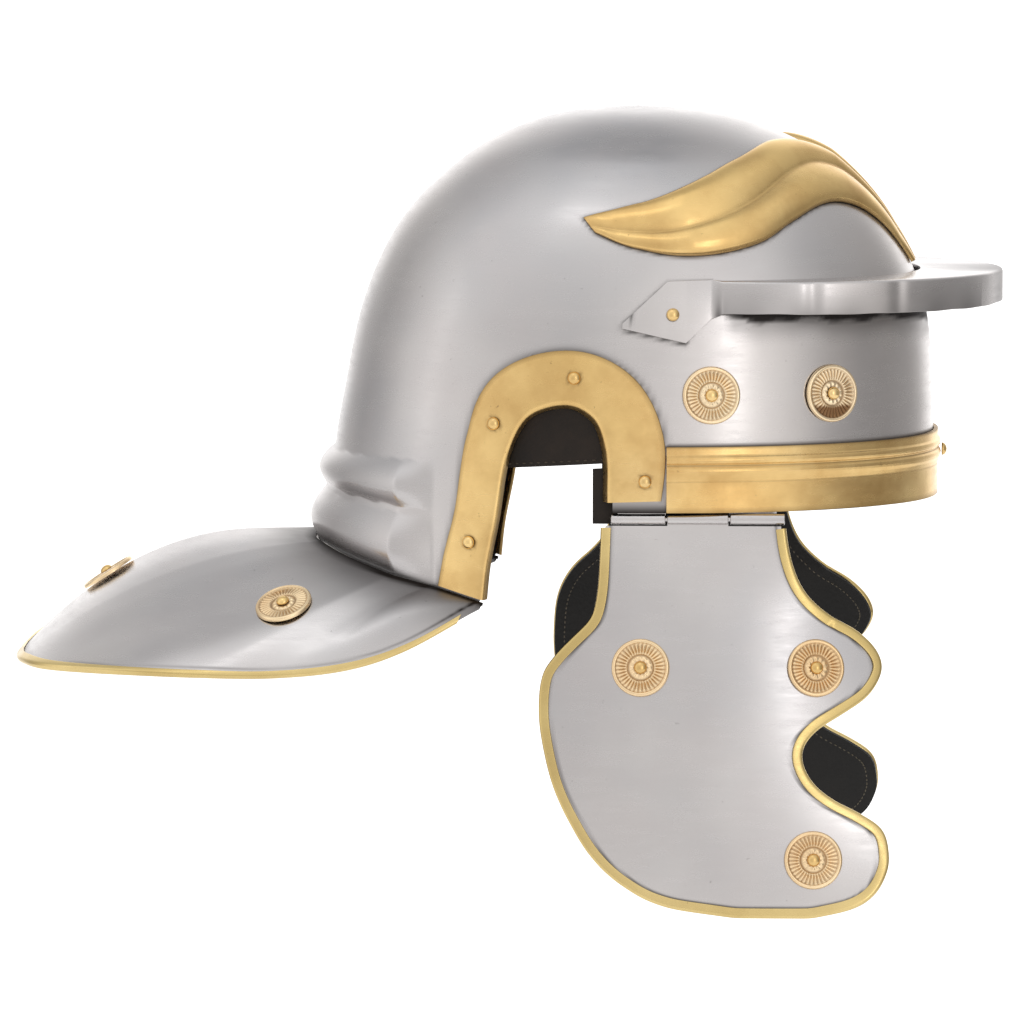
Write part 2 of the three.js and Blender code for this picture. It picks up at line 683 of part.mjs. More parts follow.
// The peak: an angle-section arc in front, with a flat lug against the bowl at each end.
function browGuard() {
  const lowZ = PEAK_TOP_Z - PEAK_FLANGE;
  const lidUnder = PEAK_TOP_Z - SHEET;
  const rearX = bowlAt(Math.PI / 2, PEAK_TOP_Z, 0).x + LUG_LENGTH * LUG_FORE;
  const reachX = PEAK_REACH_X - PEAK_CENTRE_X;
  const endTurn = Math.acos((rearX - PEAK_CENTRE_X) / reachX);
  const bowlEnd = turnAtX(rearX, PEAK_TOP_Z);
  const lugs = (side) => LUG_OUTLINE.map((row) => {
    const x = rearX - LUG_LENGTH * row.aft;
    const low = lowZ + PEAK_FLANGE * row.low;
    const high = lowZ + PEAK_FLANGE * row.high;
    const under = Math.max(high - SHEET, low);
    const at = (z, out) => sidePoint(x, z, side, out);
    const back = GAP + LUG_STANDOFF;
    const face = back + SHEET;
    return [at(low, face), at(high, face), at(high, back), at(under, back), at(under, back), at(low, back)];
  });
  const arc = steps(24, -endTurn, endTurn).map((turn) => {
    const side = turn < 0 ? -1 : 1;
    const x = PEAK_CENTRE_X + reachX * Math.cos(turn);
    const halfWidth = PEAK_HALF_WIDTH * Math.abs(Math.sin(turn));
    const bowlTurn = (turn / endTurn) * bowlEnd;
    const gap = lerp(GAP, PEAK_FRONT_GAP, Math.cos(bowlTurn) ** 4);
    const beyond = (z) => (x - CROWN_X < bowlSection(z).front - SHEET ? bowlHalfWidth(x, z) : 0);
    const face = (z, inset) => {
      const clear = beyond(z) > 0 ? beyond(z) + 2 * GAP + SHEET : 0;
      const y = Math.max(halfWidth, clear) - inset * Math.abs(Math.sin(turn));
      return new THREE.Vector3(x - inset * Math.cos(turn), side * y, z);
    };
    const inner = (z) => {
      const p = bowlAt(bowlTurn, lidUnder, gap);
      return new THREE.Vector3(p.x, p.y, z);
    };
    const outside = [face(lowZ, 0), face(PEAK_TOP_Z, 0), inner(PEAK_TOP_Z)];
    return [...outside, inner(lidUnder), face(lidUnder, SHEET), face(lowZ, SHEET)];
  });
  const outline = [[0, 0], [0, 6], [-6, 6], [-6, 5], [-1, 5], [-1, 0]];
  return bar([...lugs(-1), ...arc, ...lugs(1).reverse()], outline);
}

function eyebrow(side) {
  const keyed = EYEBROW_OUTLINE.map((row, i) => ({ ...row, share: i / (EYEBROW_OUTLINE.length - 1) }));
  const value = (column, share) => radians(smooth(keyed, 'share', column, share));
  const grid = (raised) => steps(14, 0, 1).map((share) => EYEBROW_RELIEFS.map((row) => {
    const turn = lerp(value('upTurn', share), value('lowTurn', share), row.across);
    const lift = lerp(value('upLift', share), value('lowLift', share), row.across);
    const tip = clamp(share / EYEBROW_RISE.rear, EYEBROW_LEAST, 1);
    const foot = clamp((1 - share) / EYEBROW_RISE.front, EYEBROW_LEAST, 1);
    const height = EYEBROW_SHEET + EYEBROW_RELIEF * row.relief * tip * foot;
    return bowlAt(side * turn, BOWL_HEIGHT * Math.sin(lift), GAP + (raised ? height : 0));
  }));
  return wall(grid(true), grid(false));
}

// Leather inside the bowl, seen through the ear openings: the headband, and a tab down to each cheek lining.
const LEATHER_OUT = -(EAR_FLANGE_DEPTH + GAP + 0.1);
const LINING_TAB_OUT = LEATHER_OUT - 0.9;
const headbandLow = (x) => HEADBAND_LOW_Z + HEADBAND_TILT * x;

function headband() {
  const grid = (out) => steps(28, 0, 2 * Math.PI).slice(0, -1).map((turn) => {
    const low = headbandLow(bowlAt(turn, 0, 0).x);
    const point = (z) => bowlAt(turn, z, out - napeBulge(bowlAt(turn, z, 0).x, z));
    return [low, low + HEADBAND_HEIGHT].map(point);
  });
  return wall(grid(LEATHER_OUT), grid(LEATHER_OUT - HEADBAND_THICKNESS), true);
}

function liningTab(side) {
  const rearX = CHEEK_REAR_X + CHEEK_LENGTH * CHEEK_REAR_EDGE[0].right - LINING_TAB_BEHIND;
  const frontX = CHEEK_REAR_X + CHEEK_LENGTH * CHEEK_FRONT_EDGE[0].fore;
  const grid = (out) => steps(6, rearX, frontX).map((x) => {
    const levels = [LINING_TAB_FOOT_Z, headbandLow(x) - HEADBAND_THICKNESS];
    return levels.map((z) => sidePoint(x, z, side, out));
  });
  return wall(grid(LINING_TAB_OUT), grid(LINING_TAB_OUT - LINING_THICKNESS));
}

// Hinges

const KNUCKLE_GAP = 0.4;
const LEAF_GAP = 0.7;
const LEAF_INSET = 2.6;
const TAB_REACH = 0.7;
const CORE_RADIUS = 0.9 * BARREL_RADIUS;
const KNUCKLE_FROM = (HINGE_LENGTH - KNUCKLE_LENGTH) / 2;
const KNUCKLE_TO = KNUCKLE_FROM + KNUCKLE_LENGTH;
const OUTER_KNUCKLE = KNUCKLE_FROM - KNUCKLE_GAP;

function barrel(side, start, length, outer, inner) {
  const tube = roundBar(length, outer, inner, 10);
  return tube.translate(HINGE_REAR_X + start, side * HINGE_Y, HINGE_Z);
}

function hingeLeaf(side) {
  const face = -(SHEET + LEAF_GAP);
  const foot = -(LEAF_SHEET + EDGE_CLEAR);
  const low = [foot, foot, foot, GAP, GAP, foot, foot, foot];
  const ends = [LEAF_INSET, OUTER_KNUCKLE / 2, OUTER_KNUCKLE, OUTER_KNUCKLE + KNUCKLE_GAP];
  const places = [...ends, ...ends.map((x) => HINGE_LENGTH - x).reverse()];
  const grid = (out) => places.map((x, i) => (
    [LEAF_HEIGHT, low[i]].map((z) => sidePoint(HINGE_REAR_X + x, z, side, out))
  ));
  const leaf = wall(grid(face), grid(face - LEAF_SHEET));
  const tab = (start) => {
    const columns = (lift) => steps(3, start, start + OUTER_KNUCKLE).map((at) => {
      const x = HINGE_REAR_X + at;
      const root = bowlHalfWidth(x, 0) + face - LEAF_SHEET / 2;
      const rootZ = -GAP - LEAF_SHEET;
      return [
        new THREE.Vector3(x, side * root, rootZ + lift),
        new THREE.Vector3(x, side * (HINGE_Y - TAB_REACH * BARREL_RADIUS), HINGE_Z + lift),
      ];
    });
    return wall(columns(LEAF_SHEET / 2), columns(-LEAF_SHEET / 2));
  };
  const bore = PIN_RADIUS + GAP;
  const pieces = [0, KNUCKLE_TO + KNUCKLE_GAP].map((start) => {
    const core = solidOf(barrel(side, start - 1, OUTER_KNUCKLE + 2, CORE_RADIUS, 0));
    const tube = solidOf(barrel(side, start, OUTER_KNUCKLE, BARREL_RADIUS, bore));
    return solidOf(tab(start)).subtract(core).add(tube);
  });
  return geometryOf(pieces.reduce((sum, piece) => sum.add(piece), solidOf(leaf)));
}

function hingePin(side) {
  return barrel(side, 0, HINGE_LENGTH, PIN_RADIUS, 0);
}

// Cheek guards

// Mid-surface of a cheek guard: down and fore are shares of its depth and length.
function cheekPoint(side, down, fore) {
  const depth = CHEEK_DEPTH * down;
  const middle = 2 * fore - 1;
  const toe = CHEEK_TOE_IN * Math.max(0, middle + 0.1) ** 2 * (1 - down ** 2) * Math.min(1, 4 * down);
  const dish = CHEEK_DISH * (1 - middle ** 2) * Math.sin(Math.PI * Math.min(down, 1));
  const y = HINGE_Y + Math.tan(radians(CHEEK_SPLAY)) * depth - toe + dish;
  return new THREE.Vector3(CHEEK_REAR_X + CHEEK_LENGTH * fore, side * y, HINGE_Z - depth);
}

function cheekNormal(side, down, fore) {
  const step = 0.003;
  const span = (a, b, c, d) => cheekPoint(side, a, b).sub(cheekPoint(side, c, d));
  const normal = span(down + step, fore, down - step, fore).cross(span(down, fore + step, down, fore - step));
  return normal.multiplyScalar(Math.sign(normal.y * side)).normalize();
}

function cheekSkin(side, down, fore, out) {
  return cheekPoint(side, down, fore).addScaledVector(cheekNormal(side, down, fore), out);
}

const cheekRear = (side) => (down) => smooth(CHEEK_REAR_EDGE, 'down', side < 0 ? 'right' : 'left', down);
const cheekFront = (down) => smooth(CHEEK_FRONT_EDGE, 'down', 'fore', down);
// Share of depth at which the plate starts; the tongue's lap, the trim and the lining as multiples of it.
const CHEEK_TOP = (BARREL_RADIUS + EDGE_CLEAR) / CHEEK_DEPTH;
const TONGUE_LAP = 1.15;
const TRIM_START = 1.3;
const LINING_START = 1.8;
const CHEEK_ROWS = [
  0.11, 0.16, 0.2, 0.24, 0.285, 0.33, 0.375, 0.415, 0.46, 0.5,
  0.54, 0.59, 0.64, 0.69, 0.73, 0.775, 0.84, 0.9, 0.95, 0.982,
];

// Edge of a cheek guard moved inward by the same distance all along, tried from each place near it.
function insetEdge(edgeAt, down, inset, inward) {
  const turns = steps(12, -Math.PI / 2, Math.PI / 2);
  return turns.map((turn) => {
    const near = clamp(down + (inset / CHEEK_DEPTH) * Math.sin(turn), 0, 1);
    return edgeAt(near) + inward * (inset / CHEEK_LENGTH) * Math.cos(turn);
  });
}

// Grid of a sheet inset from the cheek guard's edge and standing out of its mid-surface.
function cheekGrid(side, inset, out, top) {
  const end = 1 - inset / CHEEK_DEPTH;
  const rows = [top, ...CHEEK_ROWS.filter((down) => down < end - 0.01), end];
  return rows.map((down) => {
    const rear = Math.max(...insetEdge(cheekRear(side), down, inset, 1));
    const front = Math.min(...insetEdge(cheekFront, down, inset, -1));
    return steps(5, rear, front).map((fore) => cheekSkin(side, down, fore, out));
  });
}

function cheekPlate(side) {
  const inset = TRIM_REACH + 2 * GAP;
  const face = (out) => cheekGrid(side, inset, out, CHEEK_TOP);
  const plate = solidOf(wall(face(SHEET / 2), face(-SHEET / 2)));
  const start = KNUCKLE_FROM + KNUCKLE_GAP;
  const length = KNUCKLE_LENGTH - 2 * KNUCKLE_GAP;
  const slope = Math.tan(radians(CHEEK_SPLAY));
  const point = (at, depth, out) => {
    const y = HINGE_Y + out + slope * depth;
    return new THREE.Vector3(HINGE_REAR_X + at, side * y, HINGE_Z - depth);
  };
  const depths = [GAP, CHEEK_TOP * TONGUE_LAP * CHEEK_DEPTH];
  const tongue = (out) => [start, start + length].map((at) => depths.map((depth) => point(at, depth, out)));
  const core = barrel(side, start - 1, length + 2, CORE_RADIUS, 0);
  const tube = barrel(side, start, length, BARREL_RADIUS, PIN_RADIUS + GAP);
  const neck = solidOf(wall(tongue(SHEET / 2), tongue(-SHEET / 2))).subtract(solidOf(core));
  return geometryOf(plate.add(neck).add(solidOf(tube)));
}

function cheekEdgePlaces(side) {
  const downs = [CHEEK_TOP * TRIM_START, ...CHEEK_ROWS, 1];
  const rear = downs.map((down) => [down, cheekRear(side)(down)]);
  const front = downs.map((down) => [down, cheekFront(down)]).reverse();
  return [...rear, ...front];
}

function cheekTrim(side) {
  const places = cheekEdgePlaces(side);
  const frames = places.map(([down, fore], i) => {
    const before = places[Math.max(i - 1, 0)];
    const after = places[Math.min(i + 1, places.length - 1)];
    const along = cheekPoint(side, ...after).sub(cheekPoint(side, ...before)).normalize();
    const normal = cheekNormal(side, down, fore);
    const inward = along.clone().cross(normal).multiplyScalar(side);
    return { place: cheekPoint(side, down, fore), inward, normal };
  });
  return bar(trimSections(frames), TRIM_SECTION);
}

// The lining covers the plate's whole inner side and the trim's inner leg.
function cheekLining(side) {
  const face = -(TRIM_HALF + GAP);
  const sheet = (out) => cheekGrid(side, GAP, out, CHEEK_TOP * LINING_START);
  return wall(sheet(face), sheet(face - LINING_THICKNESS));
}

// Rosettes and rivets: lathed heads set on a place with a normal

function seated(profile, facets, place, normal) {
  const turn = new THREE.Quaternion().setFromUnitVectors(new THREE.Vector3(0, 1, 0), normal);
  return lathed(profile, facets).applyQuaternion(turn).translate(place.x, place.y, place.z);
}

// Head profiles from the foot's centre over the rim to the top: shares of radius and height.
const ROSETTE_PROFILE = [[0, 0], [1, 0], [1, 0.5], [0.88, 1], [0.45, 0.6], [0, 0.8]];
const RIVET_PROFILE = [[0, 0], [1, 0], [0.78, 0.7], [0, 1]];
const BOSS_HEIGHT = ROSETTE_HEIGHT * ROSETTE_PROFILE.at(-1)[1];
const ROSETTE_FACETS = 10;
const RIVET_FACETS = 8;

function rosette(place, normal) {
  const profile = ROSETTE_PROFILE.map(([r, h]) => [r * ROSETTE_RADIUS, h * ROSETTE_HEIGHT]);
  return seated(profile, ROSETTE_FACETS, place, normal);
}

function rivet(place, normal) {
  const profile = RIVET_PROFILE.map(([r, h]) => [r * RIVET_RADIUS, h * RIVET_HEIGHT]);
  return seated(profile, RIVET_FACETS, place, normal);
}

// The assembly

const helmet = new THREE.Group();

function add(name, geometry, look) {
  const body = new THREE.Mesh(geometry, new THREE.MeshStandardMaterial(look));
  body.name = name;
  helmet.add(body);
}

function addRosette(name, place, normal, level) {
  const seat = place.clone().addScaledVector(normal, level + GAP);
  add(`rosette_${name}`, rosette(seat, normal), GILT);
  const top = seat.clone().addScaledVector(normal, BOSS_HEIGHT + GAP);
  add(`rosette_rivet_${name}`, rivet(top, normal), BRASS);
}

function addRivet(name, place, normal, level) {
  add(name, rivet(place.clone().addScaledVector(normal, level + GAP), normal), BRASS);
}

function bowlSeat(x, z, side) {
  const y = side * bowlHalfWidth(x, z);
  return { place: new THREE.Vector3(x, y, z), normal: bowlNormal(x, y, z) };
}

add('skull_bowl', skullBowl(), STEEL);
add('neck_guard', neckGuard(), STEEL);
add('neck_trim', neckTrim(), BRASS);
add('brow_band', browBand(), BRASS);
add('brow_guard', browGuard(), STEEL);
add('headband_liner', headband(), LEATHER);

for (const [hand, side] of [['right', -1], ['left', 1]]) {
  add(`ear_guard_${hand}`, earGuard(side), BRASS);
  add(`eyebrow_${hand}`, eyebrow(side), BRASS);
  add(`hinge_leaf_${hand}`, hingeLeaf(side), STEEL);
  add(`hinge_pin_${hand}`, hingePin(side), STEEL);
  add(`cheek_plate_${hand}`, cheekPlate(side), STEEL);
  add(`cheek_trim_${hand}`, cheekTrim(side), BRASS);
  add(`cheek_lining_${hand}`, cheekLining(side), LEATHER);
  add(`lining_tab_${hand}`, liningTab(side), LEATHER);

  EAR_RIVETS.forEach(({ share, out }, i) => {
    const p = earEdge(share, earAt(share).width * out);
    const seat = bowlSeat(p.x, p.y, side);
    seat.place = sidePoint(p.x, p.y, side, 0);
    addRivet(`ear_rivet_${hand}_${i + 1}`, seat.place, seat.normal, GAP + EAR_GUARD_SHEET);
  });
  for (const { name, fore, up } of BOWL_ROSETTES) {
    const seat = bowlSeat(CROWN_X + BOWL_FRONT * fore, BOWL_HEIGHT * up, side);
    addRosette(`${name}_${hand}`, seat.place, seat.normal, 0);
  }
  const lugX = bowlAt(Math.PI / 2, PEAK_TOP_Z, 0).x + LUG_LENGTH * (LUG_FORE - LUG_RIVET.aft);
  const lug = bowlSeat(lugX, PEAK_TOP_Z - PEAK_FLANGE * (1 - LUG_RIVET.up), side);
  addRivet(`brow_guard_rivet_${hand}`, lug.place, lug.normal, GAP + LUG_STANDOFF + SHEET);
  CHEEK_ROSETTES.forEach(({ down, fore }, i) => {
    const place = cheekPoint(side, down, fore);
    addRosette(`cheek_${hand}_${i + 1}`, place, cheekNormal(side, down, fore), SHEET / 2);
  });
}

for (const { name, along, across } of NECK_ROSETTES) {
  addRosette(name, neckPoint(along, across), neckNormal(along, across), SHEET / 2);
}
const browFront = bowlAt(0, BAND_HEIGHT * BAND_RIVET_UP, 0);
addRivet('brow_band_rivet', browFront, new THREE.Vector3(1, 0, 0), GAP + BAND_SHEET + BAND_RIDGE);

export default helmet;
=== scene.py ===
# Roman legionary helmet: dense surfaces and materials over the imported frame. Lengths are millimetres until a
# mesh is made. +X is the wearer's front, +Y the wearer's left, +Z up.
import math

import bpy
import numpy as np
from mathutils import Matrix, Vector


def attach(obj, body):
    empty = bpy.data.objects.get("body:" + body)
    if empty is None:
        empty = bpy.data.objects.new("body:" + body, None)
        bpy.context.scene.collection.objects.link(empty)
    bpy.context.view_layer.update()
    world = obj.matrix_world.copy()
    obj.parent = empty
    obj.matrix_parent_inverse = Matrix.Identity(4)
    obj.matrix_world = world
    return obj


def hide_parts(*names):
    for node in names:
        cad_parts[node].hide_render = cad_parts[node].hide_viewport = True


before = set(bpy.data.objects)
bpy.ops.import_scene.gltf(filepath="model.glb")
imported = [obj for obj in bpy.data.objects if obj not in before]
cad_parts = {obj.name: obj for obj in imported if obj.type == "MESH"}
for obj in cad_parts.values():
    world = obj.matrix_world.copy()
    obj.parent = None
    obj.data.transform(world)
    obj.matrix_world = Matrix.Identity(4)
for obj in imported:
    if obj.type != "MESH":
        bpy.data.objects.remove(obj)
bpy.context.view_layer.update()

# Driving dimensions, as in the part
SHEET, GAP = 1.2, 0.3
BOWL_HEIGHT, BOWL_FRONT, BOWL_REAR, BOWL_HALF_WIDTH, CROWN_X, PLAN_POWER = 157.7, 120, 126, 92, 4, 2.2
NAPE_TOP, NAPE_DEPTH, EAR_DEPTH, NAPE_FLARE, NAPE_BEAD = 20, 19, 37.5, 6, 4.5
EAR_FRONT_X, EAR_WIDTH, EAR_HEIGHT = -5.6, 46, 43
EAR_GUARD_WIDTH, EAR_GUARD_SHEET, EAR_FLANGE_DEPTH, EAR_FLANGE_LEAN = 21, 1.2, 4, 2.6
BAND_HEIGHT, BAND_SHEET = 26.5, 1.7
PEAK_TOP_Z, PEAK_FLANGE, PEAK_REACH_X = 92, 13.5, 152
PEAK_HALF_WIDTH, PEAK_CENTRE_X, PEAK_FRONT_GAP = 89, 60, 2.5
LUG_LENGTH, LUG_STANDOFF, LUG_FORE = 38, 1, 0.9
EYEBROW_SHEET, EYEBROW_RELIEF = 0.8, 4.2
NECK_LENGTH, NECK_HALF_WIDTH, NECK_DROP, NECK_HANDLE = 129.5, 99, 65, 0.54
TRIM_WIDTH, TRIM_SHEET = 4.2, 0.7
HINGE_REAR_X, HINGE_LENGTH, KNUCKLE_LENGTH, HINGE_Y = -6, 69, 25, 89.5
BARREL_RADIUS, PIN_RADIUS, KNUCKLE_GAP, LEAF_SHEET, LEAF_HEIGHT, LEAF_GAP = 2.2, 1.0, 0.4, 1.0, 12, 0.7
CHEEK_REAR_X, CHEEK_LENGTH, CHEEK_DEPTH = -34.3, 139, 155.5
CHEEK_SPLAY, CHEEK_TOE_IN, CHEEK_DISH = 10.5, 11.5, 4
LINING_THICKNESS, LINING_TAB_BEHIND, LINING_TAB_FOOT_Z = 1.8, 3.8, -4.8
HEADBAND_HEIGHT, HEADBAND_THICKNESS, HEADBAND_LOW_Z, HEADBAND_TILT = 42, 2, 20, 0.06
ROSETTE_RADIUS, ROSETTE_HEIGHT, RIVET_RADIUS, RIVET_HEIGHT = 11.5, 1.6, 2.6, 2.1
HINGE_Z = -(BARREL_RADIUS + GAP)
SHEET_DENT, BRASS_DENT, NECK_DENT, PLATE_DENT, LEATHER_SAG = 0.12, 0.12, 0.22, 0.18, 0.25
SIDES = (("right", -1), ("left", 1))

BOWL_SECTIONS = np.array([  # lift, front, rear, side
    (0, 1, 1, 1), (7.5, 1, 0.99, 1), (15, 1, 0.963, 0.991), (30, 0.967, 0.897, 0.951),
    (45, 0.842, 0.775, 0.826), (60, 0.637, 0.575, 0.614), (70, 0.458, 0.418, 0.44),
    (80, 0.256, 0.238, 0.245), (90, 0, 0, 0)])
EAR_ARCH = np.array([  # aft, up, width
    (0.03, 0.1, 1), (0.045, 0.586, 1.1), (0.15, 0.88, 1.06), (0.365, 1, 1.02), (0.71, 0.895, 0.99),
    (0.887, 0.565, 0.85), (1, -0.09, 0.81), (1.08, -0.52, 0.85), (1.115, -0.86, 0.9)])
EAR_RIVETS = np.array([(0.05, 0.66), (0.37, 0.5), (0.575, 0.5), (0.82, 0.5)])  # share, out
LUG_OUTLINE = ((1.045, -0.4, -0.26), (0.58, -0.7, 0.94), (0.39, -0.82, 0.96), (0.12, -0.12, 0.98))
EYEBROW_OUTLINE = np.array([  # share, upTurn, upLift, lowTurn, lowLift
    (i / 11, *row) for i, row in enumerate((
        (101.3, 47.4, 98.2, 44.4), (93.4, 49.3, 90.8, 41.6), (86, 51.5, 83.3, 40.1), (73.8, 56.2, 74.3, 40.4),
        (62.6, 60.3, 63.8, 42.5), (43.4, 65, 54.3, 46.1), (27.4, 65.3, 43, 49.2), (15, 62.2, 33.2, 50),
        (10, 57.5, 23.4, 48.4), (7, 50.5, 15.4, 44.9), (4.5, 43.5, 9.5, 40.5), (1.5, 37.2, 4.5, 36.8)))])
NECK_EDGE = np.array([  # along, back, out, drop, shoulder
    (0, 0.985, 0, 1.02, -0.27), (0.15, 0.975, 0.3, 1.01, -0.1), (0.3, 0.94, 0.56, 0.99, 0.19),
    (0.42, 0.855, 0.75, 0.99, 0.44), (0.55, 0.65, 0.9, 0.99, 0.52), (0.67, 0.385, 0.97, 1, 0.42),
    (0.77, 0.14, 0.985, 1, 0.36), (0.86, -0.09, 0.975, 0.95, 0.08), (0.93, -0.27, 0.94, 0.835, -0.03),
    (1, -0.49, 0.87, 0.6, -0.1)])
CHEEK_REAR_EDGE = np.array([  # down, right, left
    (0, 0.175, 0.175), (0.12, 0.171, 0.171), (0.165, 0.168, 0.157), (0.205, 0.162, 0.121),
    (0.25, 0.147, 0.066), (0.295, 0.098, 0.031), (0.34, 0.049, 0.0115), (0.39, 0.011, 0.003),
    (0.485, 0, 0), (0.575, 0.013, 0.013), (0.675, 0.043, 0.043), (0.765, 0.091, 0.091),
    (0.855, 0.158, 0.158), (0.925, 0.249, 0.249), (0.975, 0.372, 0.372), (1, 0.56, 0.56)])
CHEEK_FRONT_EDGE = np.array([  # down, fore
    (0, 0.7), (0.105, 0.72), (0.185, 0.76), (0.245, 0.832), (0.28, 0.9), (0.325, 0.955), (0.37, 0.979),
    (0.405, 0.972), (0.453, 0.934), (0.495, 0.86), (0.53, 0.794), (0.573, 0.754), (0.615, 0.754),
    (0.665, 0.786), (0.705, 0.842), (0.74, 0.917), (0.78, 0.98), (0.845, 1), (0.887, 0.994),
    (0.943, 0.957), (0.978, 0.89), (1, 0.78)])
BOWL_ROSETTES = (("rear", 0.247, 0.297), ("front", 0.644, 0.295))
NECK_ROSETTES = (("neck_right", -0.6, 0.367), ("neck_rear", 0, 0.69), ("neck_left", 0.6, 0.367))
CHEEK_ROSETTES = ((0.372, 0.291), (0.375, 0.788), (0.854, 0.783))
LUG_RIVET_AFT, LUG_RIVET_UP, BAND_RIVET_UP = 0.525, -0.01, 0.66


# Sums on arrays

def smooth(table, column, at):
    keys, values = table[:, 0], table[:, column]
    last = len(keys) - 1
    k = np.arange(last + 1)
    after, before = np.minimum(k + 1, last), np.maximum(k - 1, 0)
    tangent = (values[after] - values[before]) / (keys[after] - keys[before])
    at = np.clip(np.asarray(at, float), keys[0], keys[last])
    i = np.clip(np.searchsorted(keys, at) - 1, 0, last - 1)
    span = keys[i + 1] - keys[i]
    t = (at - keys[i]) / span
    ends = (2 * t**3 - 3 * t**2 + 1) * values[i] + (3 * t**2 - 2 * t**3) * values[i + 1]
    return ends + span * ((t**3 - 2 * t**2 + t) * tangent[i] + (t**3 - t**2) * tangent[i + 1])


def lerp(a, b, t):
    return a + (b - a) * t


def signed_power(value, power):
    return np.sign(value) * np.abs(value) ** power


def circle(count):
    return np.linspace(0, 2 * np.pi, count, endpoint=False)


def unit(v):
    return v / np.maximum(np.linalg.norm(v, axis=-1, keepdims=True), 1e-12)


def stack(x, y, z):
    return np.stack(np.broadcast_arrays(x, y, z), -1).astype(float)


def ease(t):
    t = np.clip(t, 0, 1)
    return t * t * (3 - 2 * t)


def waves(a, b, seed):
    """Slow, smooth unevenness from -1 to 1 over two directions."""
    rng = np.random.default_rng(seed)
    count, total = 5, 0
    for _ in range(count):
        fa, fb, phase = rng.uniform(-1, 1), rng.uniform(-1, 1), rng.uniform(0, 6.28)
        total = total + np.sin(fa * a + fb * b + phase)
    return total / count


def film(distance, reach, depth=1.0, power=2):
    """Dirt and painted shade that thin out with the distance from a joint; reach is in the distance's unit."""
    return depth * np.exp(-(distance / reach) ** power)


# The bowl's skin

def bowl_section(z):
    lift = np.degrees(np.arcsin(np.clip(z / BOWL_HEIGHT, -1, 1)))
    return (BOWL_FRONT * smooth(BOWL_SECTIONS, 1, lift), BOWL_REAR * smooth(BOWL_SECTIONS, 2, lift),
            BOWL_HALF_WIDTH * smooth(BOWL_SECTIONS, 3, lift))


def bowl_fill(x, y, z):
    front, rear, side = bowl_section(z)
    reach = np.maximum(np.where(x > CROWN_X, front, rear), 1e-6)
    return (np.abs(x - CROWN_X) / reach) ** PLAN_POWER + (np.abs(y) / np.maximum(side, 1e-6)) ** PLAN_POWER


def bowl_normal(x, y, z):
    step = 0.05
    low = np.minimum(z, BOWL_HEIGHT - 4 * step)
    n = stack(bowl_fill(x + step, y, low) - bowl_fill(x - step, y, low),
              bowl_fill(x, y + step, low) - bowl_fill(x, y - step, low),
              bowl_fill(x, y, low + step) - bowl_fill(x, y, low - step))
    n = np.where((np.asarray(z) > BOWL_HEIGHT - 4 * step)[..., None], (0, 0, 1), n)
    return unit(n)


EAR_END_X = EAR_FRONT_X - EAR_WIDTH * EAR_ARCH[-1, 0]
BEAD_END_X = EAR_END_X - EAR_GUARD_WIDTH
BEAD_FADE = 12


def crease_z(x):
    rear_x = CROWN_X - BOWL_REAR
    return lerp(-NAPE_DEPTH, -EAR_DEPTH, np.clip((x - rear_x) / (EAR_END_X - rear_x), 0, 1))


def nape_bulge(x, z):
    down = (NAPE_TOP - z) / (NAPE_TOP - crease_z(x))
    fade = np.clip((BEAD_END_X - x) / BEAD_FADE, 0, 1)

    def hump(start, end):
        return np.sin(np.pi * np.clip((down - start) / (end - start), 0, 1))

    bulge = NAPE_FLARE * np.clip(down, 0, 1) + NAPE_BEAD * (hump(0.02, 0.42) + hump(0.46, 0.98))
    return np.where(down > 0, fade * bulge, 0)


def skin(x, y, z, out):
    x, y, z = np.broadcast_arrays(np.asarray(x, float), np.asarray(y, float), np.asarray(z, float))
    return stack(x, y, z) + bowl_normal(x, y, z) * (out + nape_bulge(x, z))[..., None]


def bowl_at(turn, z, out):
    turn, z = np.broadcast_arrays(np.asarray(turn, float), np.asarray(z, float))
    front, rear, side = bowl_section(z)
    c, s = np.cos(turn), np.sin(turn)
    x = CROWN_X + np.where(c > 0, front, rear) * signed_power(c, 2 / PLAN_POWER)
    return skin(x, side * signed_power(s, 2 / PLAN_POWER), z, out)


def half_width(x, z):
    front, rear, side = bowl_section(z)
    reach = np.maximum(np.where(np.asarray(x) > CROWN_X, front, rear), 1e-6)
    share = np.clip(np.abs(x - CROWN_X) / reach, 0, 1)
    return side * (1 - share**PLAN_POWER) ** (1 / PLAN_POWER)


def side_point(x, z, side, out):
    return skin(x, side * half_width(x, z), z, out)


def turn_at_x(x, z):
    front, rear, _ = bowl_section(z)
    share = np.clip((x - CROWN_X) / np.where(x > CROWN_X, front, rear), -1, 1)
    return np.arccos(signed_power(share, PLAN_POWER / 2))


# Ear arch: a centripetal spline through its table, as (x, z, width)

def catmull(points, share):
    last = len(points) - 1
    place = np.clip(share, 0, 1) * last
    i = np.minimum(place.astype(int), last - 1)
    w = (place - i)[:, None]
    ext = np.vstack([2 * points[0] - points[1], points, 2 * points[-1] - points[-2]])
    p0, p1, p2, p3 = ext[i], ext[i + 1], ext[i + 2], ext[i + 3]
    spans = ((p0, p1), (p1, p2), (p2, p3))
    d = [np.maximum(np.sum((b - a) ** 2, 1) ** 0.25, 1e-4)[:, None] for a, b in spans]
    t1 = (p1 - p0) / d[0] - (p2 - p0) / (d[0] + d[1]) + (p2 - p1) / d[1]
    t2 = (p2 - p1) / d[1] - (p3 - p1) / (d[1] + d[2]) + (p3 - p2) / d[2]
    t1, t2 = t1 * d[1], t2 * d[1]
    return p1 + t1 * w + (-3 * p1 + 3 * p2 - 2 * t1 - t2) * w**2 + (2 * p1 - 2 * p2 + t1 + t2) * w**3


